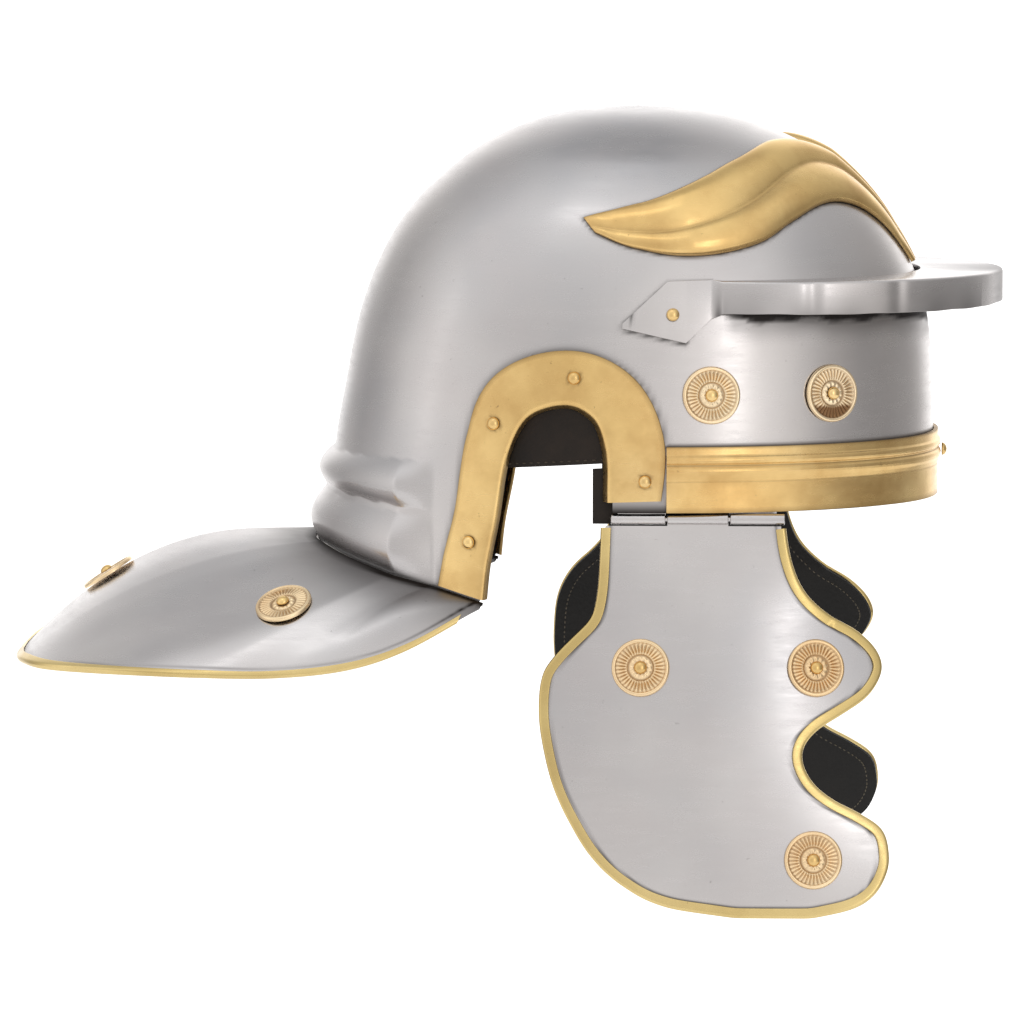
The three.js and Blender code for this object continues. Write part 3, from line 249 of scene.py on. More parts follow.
EAR_POINTS = EAR_ARCH * (-EAR_WIDTH, EAR_HEIGHT, 1) + (EAR_FRONT_X, 0, 0)


def ear_at(share):
    """Place, outward direction and guard width at shares of the way round the arch."""
    share = np.atleast_1d(np.asarray(share, float))
    p = catmull(EAR_POINTS, share)
    step = 1e-4
    ahead, behind = np.clip(share + step, 0, 1), np.clip(share - step, 0, 1)
    along = catmull(EAR_POINTS, ahead) - catmull(EAR_POINTS, behind)
    out = unit(np.stack([along[:, 1], -along[:, 0]], 1))
    return p[:, :2], out, EAR_GUARD_WIDTH * p[:, 2]


# Neck guard surface

def neck_point(along, across):
    along, across = np.broadcast_arrays(np.asarray(along, float), np.asarray(across, float))
    side, share = np.where(along < 0, -1, 1), np.abs(along)
    turn = lerp(np.pi, turn_at_x(EAR_END_X, 0.0), share)
    root = bowl_at(side * turn, crease_z(bowl_at(turn, 0.0, 0)[..., 0]), GAP + SHEET / 2)
    back, out, drop, shoulder = (smooth(NECK_EDGE, column, share) for column in range(1, 5))
    edge = stack(CROWN_X - BOWL_REAR - NECK_LENGTH * back, side * NECK_HALF_WIDTH * out, -NECK_DROP * drop)
    handle = lerp(root, edge, NECK_HANDLE)
    handle[..., 2] = lerp(root[..., 2], edge[..., 2], shoulder)
    a = across[..., None]
    return root * (1 - a) ** 2 + handle * 2 * a * (1 - a) + edge * a**2


def neck_normal(along, across):
    step = 0.004
    low, high = np.maximum(across - step, 0), np.minimum(across + step, 1)
    u = neck_point(along + step, across) - neck_point(along - step, across)
    return unit(np.cross(u, neck_point(along, high) - neck_point(along, low)))


def neck_skin(along, across, out):
    return neck_point(along, across) + neck_normal(along, across) * np.asarray(out)[..., None]


# Cheek guard surface

def cheek_point(side, down, fore):
    depth, middle = CHEEK_DEPTH * down, 2 * fore - 1
    toe = CHEEK_TOE_IN * np.maximum(0, middle + 0.1) ** 2 * (1 - down**2) * np.minimum(1, 4 * down)
    dish = CHEEK_DISH * (1 - middle**2) * np.sin(np.pi * np.minimum(down, 1))
    y = HINGE_Y + math.tan(math.radians(CHEEK_SPLAY)) * depth - toe + dish
    return stack(CHEEK_REAR_X + CHEEK_LENGTH * fore, side * y, HINGE_Z - depth)


def cheek_normal(side, down, fore):
    s = 0.003
    u = cheek_point(side, down + s, fore) - cheek_point(side, down - s, fore)
    n = np.cross(u, cheek_point(side, down, fore + s) - cheek_point(side, down, fore - s))
    return unit(n * np.sign(n[..., 1:2] * side))


def cheek_skin(side, down, fore, out):
    return cheek_point(side, down, fore) + cheek_normal(side, down, fore) * np.asarray(out)[..., None]


def cheek_edges(side, down, inset):
    """Rear and front edge of a sheet inset by the same distance all along a cheek guard's outline."""
    turns = np.linspace(-np.pi / 2, np.pi / 2, 25)
    near = np.clip(down[:, None] + (inset / CHEEK_DEPTH) * np.sin(turns), 0, 1)
    shift = (inset / CHEEK_LENGTH) * np.cos(turns)
    rear = smooth(CHEEK_REAR_EDGE, 1 if side < 0 else 2, near) + shift
    front = smooth(CHEEK_FRONT_EDGE, 1, near) - shift
    return rear.max(1), front.min(1)


# Meshes

def make(name, points, faces, smooth_angle=35, grime_and_shade=None, normals=None):
    """A mesh object in metres from millimetre points, with the faces turned outward and merged at seams.

    Dirt and painted shade, and true surface normals, when given, have one value for each point."""
    mesh = bpy.data.meshes.new(name)
    mesh.from_pydata((np.asarray(points) / 1000).tolist(), [], faces)
    if grime_and_shade is not None:
        layer = mesh.attributes.new("grime_and_shade", "FLOAT", "POINT")
        layer.data.foreach_set("value", np.ravel(grime_and_shade).astype(np.float32))
    if normals is not None:
        layer = mesh.attributes.new("true_normal", "FLOAT_VECTOR", "POINT")
        layer.data.foreach_set("vector", np.ravel(normals).astype(np.float32))
    mesh.validate()
    piece = bpy.data.objects.new(name, mesh)
    bpy.context.scene.collection.objects.link(piece)
    bpy.ops.object.select_all(action="DESELECT")
    piece.select_set(True)
    bpy.context.view_layer.objects.active = piece
    bpy.ops.object.mode_set(mode="EDIT")
    bpy.ops.mesh.select_all(action="SELECT")
    bpy.ops.mesh.remove_doubles(threshold=0.000004)
    bpy.ops.mesh.normals_make_consistent(inside=False)
    bpy.ops.object.mode_set(mode="OBJECT")
    if normals is None:
        bpy.ops.object.shade_smooth_by_angle(angle=math.radians(smooth_angle))
        return piece
    bpy.ops.object.shade_smooth()
    kept = np.zeros(len(mesh.vertices) * 3, np.float32)
    mesh.attributes["true_normal"].data.foreach_get("vector", kept)
    mesh.normals_split_custom_set_from_vertices(unit(kept.reshape(-1, 3)).tolist())
    mesh.attributes.remove(mesh.attributes["true_normal"])
    return piece


def grid_faces(rows, columns, start=0, wrap_rows=False, wrap_columns=False):
    i = np.arange(rows if wrap_rows else rows - 1)
    j = np.arange(columns if wrap_columns else columns - 1)
    i, j = [a.ravel() for a in np.meshgrid(i, j, indexing="ij")]
    i2, j2 = (i + 1) % rows, (j + 1) % columns
    quads = np.stack([i * columns + j, i2 * columns + j, i2 * columns + j2, i * columns + j2], 1) + start
    return quads.tolist()


def bar_faces(count, n):
    last = (count - 1) * n
    return grid_faces(count, n, 0, False, True) + [list(range(n))[::-1], list(range(last, last + n))]


def loft(name, sections, closed=False, smooth_angle=35):
    """A bar through an array of equal closed sections (count, points, 3); open ends get a cap."""
    count, n = sections.shape[:2]
    faces = grid_faces(count, n, 0, True, True) if closed else bar_faces(count, n)
    return make(name, sections.reshape(-1, 3), faces, smooth_angle)


def slab(name, front, back, wrap=False, smooth_angle=35):
    """A wall between two grids (rows, columns, 3)."""
    sections = np.concatenate([front, back[:, ::-1]], 1)
    if wrap:
        return loft(name, sections, True, smooth_angle)
    rows, columns = front.shape[:2]
    faces = grid_faces(rows, 2 * columns, 0, False, True)
    for r in (0, rows - 1):
        base = r * 2 * columns
        for j in range(columns - 1):
            faces.append([base + j, base + j + 1, base + 2 * columns - 2 - j, base + 2 * columns - 1 - j])
    return make(name, sections.reshape(-1, 3), faces, smooth_angle)


def rounded(points, radius, turns=4, most=0.48):
    """Rounds the corners of closed outlines (..., points, 3 or 2).

    A corner takes at most the share called most of the sides beside it."""
    out = []
    count = points.shape[-2]
    for k in range(count):
        here, r = points[..., k, :], radius[k]
        if np.max(r) <= 0:
            out.append(here)
            continue
        sides = (points[..., k - 1, :] - here, points[..., (k + 1) % count, :] - here)
        a, b = (here + s * np.minimum(r / np.linalg.norm(s, axis=-1, keepdims=True), most) for s in sides)
        for t in np.linspace(0, 1, turns + 1):
            out.append(a * (1 - t) ** 2 + here * 2 * t * (1 - t) + b * t**2)
    return np.stack(out, -2)


def cross_axes(normal):
    u = unit(np.cross(normal, (0.0, 0.3, 1.0)))
    return u, np.cross(normal, u)


def lathe(profile, place, normal, facets, ripple=None):
    """Points and faces of a closed turned shape; profile is (radius, height) from foot to top."""
    normal = unit(np.asarray(normal, float))
    u, v = cross_axes(normal)
    angle = circle(facets)[:, None]
    r, h = np.asarray(profile, float).T
    r, h = np.broadcast_to(r, (facets, len(r))), np.broadcast_to(h, (facets, len(h)))
    if ripple is not None:
        h = h + ripple(angle, r)
    c, s = np.cos(angle), np.sin(angle)
    points = np.asarray(place) + (r * c)[..., None] * u + (r * s)[..., None] * v + h[..., None] * normal
    return points.reshape(-1, 3), grid_faces(facets, len(profile), 0, True, False)


def vertices(piece):
    co = np.zeros(len(piece.data.vertices) * 3, np.float32)
    piece.data.vertices.foreach_get("co", co)
    return co.reshape(-1, 3) * 1000


# Materials

def nodes_of(name, build):
    material = bpy.data.materials.new(name)
    material.use_nodes = True
    tree = material.node_tree
    shader = tree.nodes["Principled BSDF"]
    build(tree, shader)
    return material


def node(tree, kind, values=None, **settings):
    made = tree.nodes.new(kind)
    for key, value in settings.items():
        setattr(made, key, value)
    for key, value in (values or {}).items():
        made.inputs[key].default_value = value
    return made


def place_of(tree, scale=(1, 1, 1)):
    coord = node(tree, "ShaderNodeTexCoord")
    mapping = node(tree, "ShaderNodeMapping", {"Scale": scale})
    tree.links.new(coord.outputs["Object"], mapping.inputs["Vector"])
    return mapping.outputs["Vector"]


def noise(tree, vector, scale, detail=4.0, roughness=0.5):
    made = node(tree, "ShaderNodeTexNoise", {"Scale": scale, "Detail": detail, "Roughness": roughness})
    tree.links.new(vector, made.inputs["Vector"])
    return made.outputs["Fac"]


def ramp(tree, value, stops):
    made = node(tree, "ShaderNodeValToRGB")
    band = made.color_ramp
    while len(band.elements) < len(stops):
        band.elements.new(0.5)
    for element, (at, colour) in zip(band.elements, stops):
        element.position = at
        element.color = (*colour, 1)
    tree.links.new(value, made.inputs["Fac"])
    return made.outputs["Color"]


def span(tree, value, low, high, to_low, to_high):
    ends = {"From Min": low, "From Max": high, "To Min": to_low, "To Max": to_high}
    made = node(tree, "ShaderNodeMapRange", ends)
    tree.links.new(value, made.inputs["Value"])
    return made.outputs["Result"]


def mix(tree, fac, a, b):
    made = node(tree, "ShaderNodeMix", data_type="RGBA")
    for socket, value in ((made.inputs[0], fac), (made.inputs[6], a), (made.inputs[7], b)):
        if isinstance(value, bpy.types.NodeSocket):
            tree.links.new(value, socket)
        else:
            socket.default_value = (*value, 1)
    return made.outputs[2]


def bump(tree, shader, height, strength, distance):
    made = node(tree, "ShaderNodeBump", {"Strength": strength, "Distance": distance})
    tree.links.new(height, made.inputs["Height"])
    tree.links.new(made.outputs["Normal"], shader.inputs["Normal"])


def grime_and_shade_of(tree):
    made = node(tree, "ShaderNodeAttribute", attribute_name="grime_and_shade")
    return made.outputs["Fac"]


def metal(name, light, dark, warm, tarnish, rough, grime_and_shade_colour, pits=0.5, wave=0.0004, stain=0.55):
    """Polished sheet with broad tone changes, streaks, pits, grime and painted shade along joints and an
    uneven shape.
    """
    def build(tree, shader):
        at = place_of(tree)
        broad = noise(tree, at, 9.0, 3.0)
        cloud = noise(tree, at, 28.0, 5.0, 0.6)
        tone = ramp(tree, broad, ((0.3, dark), (0.55, light), (0.75, warm)))
        tone = mix(tree, span(tree, cloud, 0.38, 0.72, 0.0, stain), tone, tarnish)
        speck = noise(tree, at, 420.0, 2.0, 0.7)
        tone = mix(tree, span(tree, speck, 0.72, 0.78, 0.0, pits), tone, grime_and_shade_colour)
        tone = mix(tree, grime_and_shade_of(tree), tone, grime_and_shade_colour)
        tree.links.new(tone, shader.inputs["Base Color"])
        shader.inputs["Metallic"].default_value = 1.0
        streak = noise(tree, place_of(tree, (1, 1, 6)), 60.0, 6.0, 0.65)
        rub = node(tree, "ShaderNodeMath", operation="ADD")
        tree.links.new(span(tree, streak, 0.3, 0.7, rough[0], rough[1]), rub.inputs[0])
        tree.links.new(span(tree, grime_and_shade_of(tree), 0.0, 1.0, 0.0, 0.35), rub.inputs[1])
        tree.links.new(rub.outputs[0], shader.inputs["Roughness"])
        bump(tree, shader, noise(tree, at, 16.0, 3.0), 0.5, wave)
    return nodes_of(name, build)


def leather(name, base, worn, grain=520.0):
    def build(tree, shader):
        at = place_of(tree)
        cloud = noise(tree, at, 35.0, 5.0, 0.6)
        tone = ramp(tree, cloud, ((0.35, base), (0.75, worn)))
        tree.links.new(tone, shader.inputs["Base Color"])
        tree.links.new(span(tree, cloud, 0.3, 0.7, 0.42, 0.62), shader.inputs["Roughness"])
        shader.inputs["Specular IOR Level"].default_value = 0.2
        pebble = node(tree, "ShaderNodeTexVoronoi", {"Scale": grain})
        tree.links.new(at, pebble.inputs["Vector"])
        bump(tree, shader, pebble.outputs["Distance"], 0.35, 0.0003)
    return nodes_of(name, build)


STEEL = metal("steel", (0.64, 0.611, 0.598), (0.5, 0.487, 0.492), (0.67, 0.622, 0.59), (0.58, 0.54, 0.53),
              (0.2, 0.3), (0.02, 0.016, 0.014), pits=0.25)
BRASS = metal("brass", (0.95, 0.67, 0.29), (0.8, 0.53, 0.2), (0.97, 0.74, 0.38), (0.62, 0.38, 0.14),
              (0.17, 0.3), (0.09, 0.05, 0.02), wave=0.0007, stain=0.95)
TRIM = metal("trim_brass", (0.78, 0.6, 0.27), (0.67, 0.5, 0.2), (0.84, 0.67, 0.34), (0.52, 0.37, 0.14),
             (0.18, 0.32), (0.12, 0.08, 0.03), pits=0.4)
GILT = metal("gilt", (0.98, 0.78, 0.5), (0.88, 0.62, 0.34), (1.0, 0.84, 0.6), (0.8, 0.52, 0.28),
             (0.18, 0.32), (0.24, 0.12, 0.05))
LEATHER = leather("leather", (0.012, 0.011, 0.01), (0.022, 0.02, 0.018))
BAND_LEATHER = leather("band_leather", (0.012, 0.009, 0.007), (0.03, 0.02, 0.014))
THREAD = leather("thread", (0.1, 0.085, 0.06), (0.16, 0.13, 0.1), 900.0)
DARK_THREAD = leather("dark_thread", (0.045, 0.035, 0.025), (0.08, 0.06, 0.045), 900.0)


def dress(piece, material, body, nodes, dirt_and_shade=None):
    """Material, dirt and painted shade, the nodes it stands for and the body that it rides on."""
    piece.data.materials.append(material)
    if "grime_and_shade" not in piece.data.attributes:
        values = np.zeros(len(piece.data.vertices)) if dirt_and_shade is None else dirt_and_shade
        layer = piece.data.attributes.new("grime_and_shade", "FLOAT", "POINT")
        layer.data.foreach_set("value", np.asarray(values, np.float32))
    for name in nodes:
        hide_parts(name)
    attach(piece, body)


def near_polyline(points, line, chunk=4000):
    a, b = line[:-1], line[1:]
    ab = b - a
    length = np.maximum((ab**2).sum(1), 1e-9)
    out = np.empty(len(points))
    for start in range(0, len(points), chunk):
        p = points[start:start + chunk, None, :]
        t = np.clip(((p - a) * ab).sum(2) / length, 0, 1)[..., None]
        out[start:start + chunk] = np.sqrt((((p - a) - t * ab) ** 2).sum(2)).min(1)
    return out


# Steel bowl

ARCH_CREST_X = -30
BOWL_DIRT_AND_SHADE = {  # dirt and painted contact shade where fittings meet the bowl: reach in mm, depth
    "band": (0.9, 0.8), "rim": (3.0, 1.0), "ear": (1.5, 0.6), "foot": (4.0, 1.0), "eyebrow": (0.8, 0.75),
    "lug": (0.8, 0.8), "nape": (1.9, 1.0)}
SHADE_Z, SHADE_FALL, SHADE_FROM_X = 75.2, 0.05, 38  # painted shade: a dark strip under the peak


def low_z(x):
    """Lowest height of the bowl at x: the ear arch, the brow rim in front and the crease behind."""
    p, out, _ = ear_at(np.linspace(0, 1, 1500))
    arch = p + out * (EAR_GUARD_SHEET + 1.5 * GAP)
    ax, az = arch[np.argsort(arch[:, 0])].T
    behind = ax < ARCH_CREST_X
    az = np.where(behind, np.maximum.accumulate(np.where(behind, az, -99)), az)
    level = np.maximum(np.interp(x, ax, az), crease_z(x))
    return np.where(x > ax[-1], 0.0, np.where(x < ax[0], crease_z(x), level))


def bowl_normal_at(turn, z):
    p = bowl_at(turn, z, 0)
    return bowl_normal(p[..., 0], p[..., 1], z)


def eyebrow_edge(side):
    share = np.linspace(0, 1, 120)
    parts = []
    for turn_column, lift_column in ((1, 2), (3, 4)):
        turn = np.radians(smooth(EYEBROW_OUTLINE, turn_column, share))
        lift = np.radians(smooth(EYEBROW_OUTLINE, lift_column, share))
        parts.append(bowl_at(side * turn, BOWL_HEIGHT * np.sin(lift), 0))
    return np.concatenate([parts[0][::-1], parts[1]])


PEAK_LOW_Z = PEAK_TOP_Z - PEAK_FLANGE
LUG_FRONT_X = bowl_at(np.pi / 2, PEAK_TOP_Z, 0)[0] + LUG_LENGTH * LUG_FORE


def lug_rows(at):
    """x, lower z and upper z of a lug at places along its outline's rows."""
    aft, low, high = (np.interp(at, np.arange(len(LUG_OUTLINE)), column) for column in np.array(LUG_OUTLINE).T)
    return LUG_FRONT_X - LUG_LENGTH * aft, PEAK_LOW_Z + PEAK_FLANGE * low, PEAK_LOW_Z + PEAK_FLANGE * high


def bowl_dirt_and_shade(points):
    """Dark lines on the bowl where fittings meet it, part dirt in the joints and part painted contact shade,
    and painted shade under the peak.
    """
    dirt_and_shade = np.zeros(len(points))

    def add(line, where):
        reach, depth = BOWL_DIRT_AND_SHADE[where]
        np.maximum(dirt_and_shade, film(near_polyline(points, line), reach, depth, 1.6), out=dirt_and_shade)

    p, out, width = ear_at(np.linspace(0, 1, 160))
    edge = p + out * width[:, None]
    end = turn_at_x(16.0, 0.0)
    brow = np.linspace(-end, end, 200)
    add(bowl_at(brow, BAND_HEIGHT + 0 * brow, 0), "band")
    add(bowl_at(brow, 0 * brow, 0), "rim")
    foot_x = np.linspace(-8, 18, 40)
    lx, lo, hi = lug_rows(np.arange(len(LUG_OUTLINE)))
    x = np.concatenate([lx, lx[::-1][1:], lx[:1]])
    z = np.concatenate([hi, lo[::-1][1:], hi[:1]]) - 0.4
    dense, keys = np.linspace(0, len(x) - 1, 160), np.arange(len(x))
    for side in (-1, 1):
        add(side_point(edge[:, 0], np.maximum(edge[:, 1], crease_z(edge[:, 0])), side, 0), "ear")
        add(side_point(foot_x, 0 * foot_x, side, 0), "foot")
        add(eyebrow_edge(side), "eyebrow")
        add(side_point(np.interp(dense, keys, x), np.interp(dense, keys, z), side, 0), "lug")
    along = np.linspace(-1, 1, 260)
    add(neck_point(along, 0 * along), "nape")
    # painted shade on the bowl under the peak, with a ragged lower edge
    x, y, z = points.T
    ragged = 0.9 * np.sin(x / 5.1) + 0.6 * np.sin(x / 2.3 + 1)
    ragged = SHADE_Z - SHADE_FALL * (BOWL_HALF_WIDTH - abs(y)) + ragged
    here = ease((PEAK_TOP_Z - 1 - z) / 2) * ease((x - SHADE_FROM_X) / 6)
    shade = np.maximum(0.95 * ease((z - ragged) / 2.2), 0.3 * ease((z - ragged + 9) / 9))
    return np.maximum(dirt_and_shade, shade * here)


def lower_edge(turns):
    low = low_z(bowl_at(turns, 0 * turns, 0)[:, 0])
    for _ in range(3):
        low = low_z(bowl_at(turns, np.maximum(low, 0), 0)[:, 0])
    return low


def skull_bowl():
    # columns stand closer together where the lower edge climbs round the ears
    columns, rows, inner_rows = 400, 150, 90
    fine = np.linspace(0, 2 * np.pi, 6001)
    edge = stack(*bowl_at(fine, 0 * fine, 0).T[:2], lower_edge(fine))
    length = np.concatenate([[0], np.cumsum(np.linalg.norm(np.diff(edge, axis=0), axis=1))])
    turns = np.interp(np.linspace(0, length[-1], columns, endpoint=False), length, fine)
    low = lower_edge(turns)
    start = np.degrees(np.arcsin(np.clip(low / BOWL_HEIGHT, -1, 1)))

    def outside(turn, z):
        dent = SHEET_DENT * waves(turn * 6, z / 9, 11) - SHEET_DENT
        return bowl_at(turn, z, 0) + bowl_normal_at(turn, z) * dent[..., None]

    def levels(count):
        lift = lerp(start[:, None], 90.0, np.linspace(0, 1, count)[None, :] ** 1.08)
        z = BOWL_HEIGHT * np.sin(np.radians(lift))
        return np.broadcast_to(turns[:, None], z.shape), z

    turn, z = levels(rows)
    outer = outside(turn, z)
    # true normals with the dents in them, so the facets round the crown do not show
    turn_step, z_step = 0.01, 0.4
    below = np.minimum(z, BOWL_HEIGHT - 1)
    across = outside(turn + turn_step, z) - outside(turn - turn_step, z)
    normal = unit(np.cross(across, outside(turn, below + z_step) - outside(turn, below - z_step)))
    normal = np.where((z > BOWL_HEIGHT - 0.6)[..., None], (0.0, 0.0, 1.0), normal)
    turn, z = levels(inner_rows)
    inward = bowl_normal_at(turn, z)
    inner = bowl_at(turn, z, 0) - SHEET * inward
    points, normals = (np.concatenate([a.reshape(-1, 3), b.reshape(-1, 3)])
                       for a, b in ((outer, inner), (normal, -inward)))
    first = columns * rows
    # the outer face takes dirt and painted contact shade; the whole inner face takes the full dark colour
    grime_and_shade = np.concatenate([bowl_dirt_and_shade(points[:first]), np.ones(len(points) - first)])
    faces = grid_faces(columns, rows, 0, True, False) + grid_faces(columns, inner_rows, first, True, False)
    for i in range(columns):
        j = (i + 1) % columns
        faces.append([i * rows, first + i * inner_rows, first + j * inner_rows, j * rows])
    piece = make("steel_bowl", points, faces, 50, grime_and_shade, normals)
    dress(piece, STEEL, "helmet", ["skull_bowl"])


skull_bowl()


# Neck guard and its trim

def neck_guard():
    along, across = np.linspace(-1, 1, 241)[:, None], np.linspace(0, 1, 51)[None, :]
    dent = NECK_DENT * waves(along * 5, across * 4, 5) * np.sin(np.pi * across)
    front, back = (neck_skin(along, across, out + dent) for out in (SHEET / 2, -SHEET / 2))
    piece = slab("steel_neck_guard", front, back)
    points = vertices(piece)
    line = np.linspace(-1, 1, 300)
    nape = near_polyline(points, neck_point(line, 0 * line))
    trim = near_polyline(points, neck_point(line, 0 * line + 1)) - TRIM_WIDTH + 1.0
    # shade is a painted dark reflection spreading from the nape; the nape crease line is dirt and painted
    # contact shade, the trim line a dark joint
    shade = film(nape, 19, 0.7) * ease((points[:, 0] + 172) / 20)
    dirt_and_shade = np.clip(film(nape, 1.7, power=1.6) + shade + film(trim, 0.5, 0.4), 0, 1)
    dress(piece, STEEL, "helmet", ["neck_guard"], dirt_and_shade)


TRIM_SLOT = SHEET / 2 + GAP
TRIM_HALF = TRIM_SLOT + TRIM_SHEET
TRIM_NOSE = TRIM_SHEET + GAP
TRIM_REACH = TRIM_NOSE + GAP


def trim_bar(name, place, inward, normal, seed, body, nodes):
    """A folded channel with a round nose along an edge; its legs are a little uneven in width."""
    corners = np.array([
        (TRIM_WIDTH, TRIM_SLOT), (TRIM_WIDTH, TRIM_HALF), (0, TRIM_HALF), (0, -TRIM_HALF),
        (TRIM_WIDTH, -TRIM_HALF), (TRIM_WIDTH, -TRIM_SLOT), (TRIM_NOSE, -TRIM_SLOT), (TRIM_NOSE, TRIM_SLOT)])
    section = rounded(corners, (0, 0.35, 1.5, 1.5, 0.35, 0, 0.2, 0.2), 5)
    run = np.linspace(0, 60, len(place))[:, None]
    width = 1 + 0.05 * waves(run, section[None, :, 1], seed) - 0.03
    u = np.where(section[None, :, 0] > 2, section[None, :, 0] * width, section[None, :, 0])
    v = np.broadcast_to(section[None, :, 1], u.shape)
    points = place[:, None] + inward[:, None] * u[..., None] + normal[:, None] * v[..., None]
    dress(loft(name, points), TRIM, body, nodes)


def neck_trim():
    along = np.linspace(-0.98, 0.98, 420)
    ends = np.ones(420)
    edge = neck_point(along, ends)
    inward = unit(neck_point(along, 0.96 * ends) - edge)
    place, normal = edge - inward * TRIM_REACH, neck_normal(along, ends)
    trim_bar("brass_neck_trim", place, inward, normal, 3, "helmet", ["neck_trim"])


neck_guard()
neck_trim()


# Ear guards

def rivet_rings(points, centres, radius=3.0):
    ring = np.zeros(len(points))
    for centre in centres:
        ring = np.maximum(ring, film(np.linalg.norm(points - centre, axis=1) - radius, 0.5, 0.6))
    return ring


def ear_rivet_seats(side):
    p, out, width = ear_at(EAR_RIVETS[:, 0])
    q = p + out * (width * EAR_RIVETS[:, 1])[:, None]
    y = side * half_width(q[:, 0], q[:, 1])
    return side_point(q[:, 0], q[:, 1], side, 0), bowl_normal(q[:, 0], y, q[:, 1])


def ear_guard(hand, side):
    share = np.linspace(0, 1, 240)
    p, out, width = ear_at(share)
    outer = GAP + EAR_GUARD_SHEET
    w = width[:, None]
    zero = np.zeros_like(w)
    lean = EAR_FLANGE_LEAN * np.clip((0.6 - share) / 0.3, 0, 1)[:, None]
    u = np.concatenate([w, w, zero, -lean, EAR_GUARD_SHEET - lean, zero + EAR_GUARD_SHEET], 1)
    v = np.array([GAP, outer, outer, -EAR_FLANGE_DEPTH, -EAR_FLANGE_DEPTH, GAP]) + zero
    flat = rounded(np.stack([u, v], -1), (0.2, 0.45, 2.3, 0.4, 0.2, 1.2), 5)
    # extra columns between the outer edge and the rolled inner edge follow the bowl's curve
    middle = [lerp(flat[:, 11], flat[:, 12], t) for t in np.linspace(0, 1, 12)[1:-1]]
    under = [lerp(flat[:, -1], flat[:, 0], t) for t in np.linspace(0, 1, 12)[1:-1]]
    flat = np.concatenate([flat[:, :12], np.stack(middle, 1), flat[:, 12:], np.stack(under, 1)], 1)
    xz = p[:, None] + out[:, None] * flat[..., :1]
    x, z = xz[..., 0], np.maximum(xz[..., 1], crease_z(xz[..., 0]) + outer)
    uneven = BRASS_DENT * waves(x / 6, z / 6, 21) - BRASS_DENT
    level = flat[..., 1] + np.where(flat[..., 1] > 1, uneven, 0)
    piece = loft(f"brass_ear_guard_{hand}", side_point(x, z, side, level), smooth_angle=40)
    seats, _ = ear_rivet_seats(side)
    points = vertices(piece)
    edge = p + out * w
    edge_z = np.maximum(edge[:, 1], crease_z(edge[:, 0]))
    rim = near_polyline(points, side_point(edge[:, 0], edge_z, side, outer))
    flange = near_polyline(points, side_point(p[:, 0], p[:, 1], side, -EAR_FLANGE_DEPTH / 2))
    # the dark line along the outer edge is dirt in the joint; the darkened inner flange is painted shade from
    # the dark inside of the helmet
    stain = np.maximum(film(rim, 0.7, 0.6), film(flange, 2.4, 0.5, 4))
    dirt_and_shade = np.maximum(stain, rivet_rings(points, seats))
    dress(piece, BRASS, "helmet", [f"ear_guard_{hand}"], dirt_and_shade)


# Brow band: a plain lower strip, two mouldings and a flat top strip

BAND_PROFILE = (
    (0, 0), (11.5, 0), (13, 0.15), (14.6, 0.55), (15.8, 1.05), (17, 1.3), (18, 1.05), (18.7, 0.45),
    (19.1, 0.3), (19.6, 0.5), (20.3, 1.05), (21.4, 1.3), (22.4, 1.0), (23.0, 0.4), (23.4, 0.1),
    (26.5, 0))


def brow_band():
    p, out, width = ear_at(np.linspace(0, 0.2, 60))
    front_x = (p + out * width[:, None])[:, 0].max() + GAP
    end = turn_at_x(front_x, 0.0)
    turn = np.linspace(-end, end, 420)[:, None]
    heights, relief = np.array(BAND_PROFILE).T
    z = np.interp(np.linspace(0, 1, 70), np.linspace(0, 1, len(heights)), heights)
    out = GAP + BAND_SHEET + np.interp(z, heights, relief)
    z, out = np.append(z, (BAND_HEIGHT, 0)), np.append(out, (GAP, GAP))
    ripple, uneven, hem = 0.28, 0.08, 4
    lift = np.where(z < hem, 1 - z / hem, 0) * (ripple * waves(turn * 9, 0, 9) + ripple)
    points = bowl_at(turn, z + 0 * turn, out + uneven * waves(turn * 12, z / 5, 8) - uneven)
    points[..., 2] = z + lift
    piece = loft("brass_brow_band", points, smooth_angle=40)
    z = vertices(piece)[:, 2]
    groove = film(z - 19.1, 0.35, 0.45) + film(z - 12.6, 0.3, 0.2)
    edges = film(z - BAND_HEIGHT, 0.6, 0.55) + film(z - 0.4, 0.8, 0.4)
    dress(piece, BRASS, "helmet", ["brow_band"], groove + edges)


brow_band()


# Peak with its lugs

PEAK_PINCH = ((108, 2.6, 0.9), (74, 3, 0.5))  # x, half length, depth; the first only on the right side
LUG_KNOTS = 46


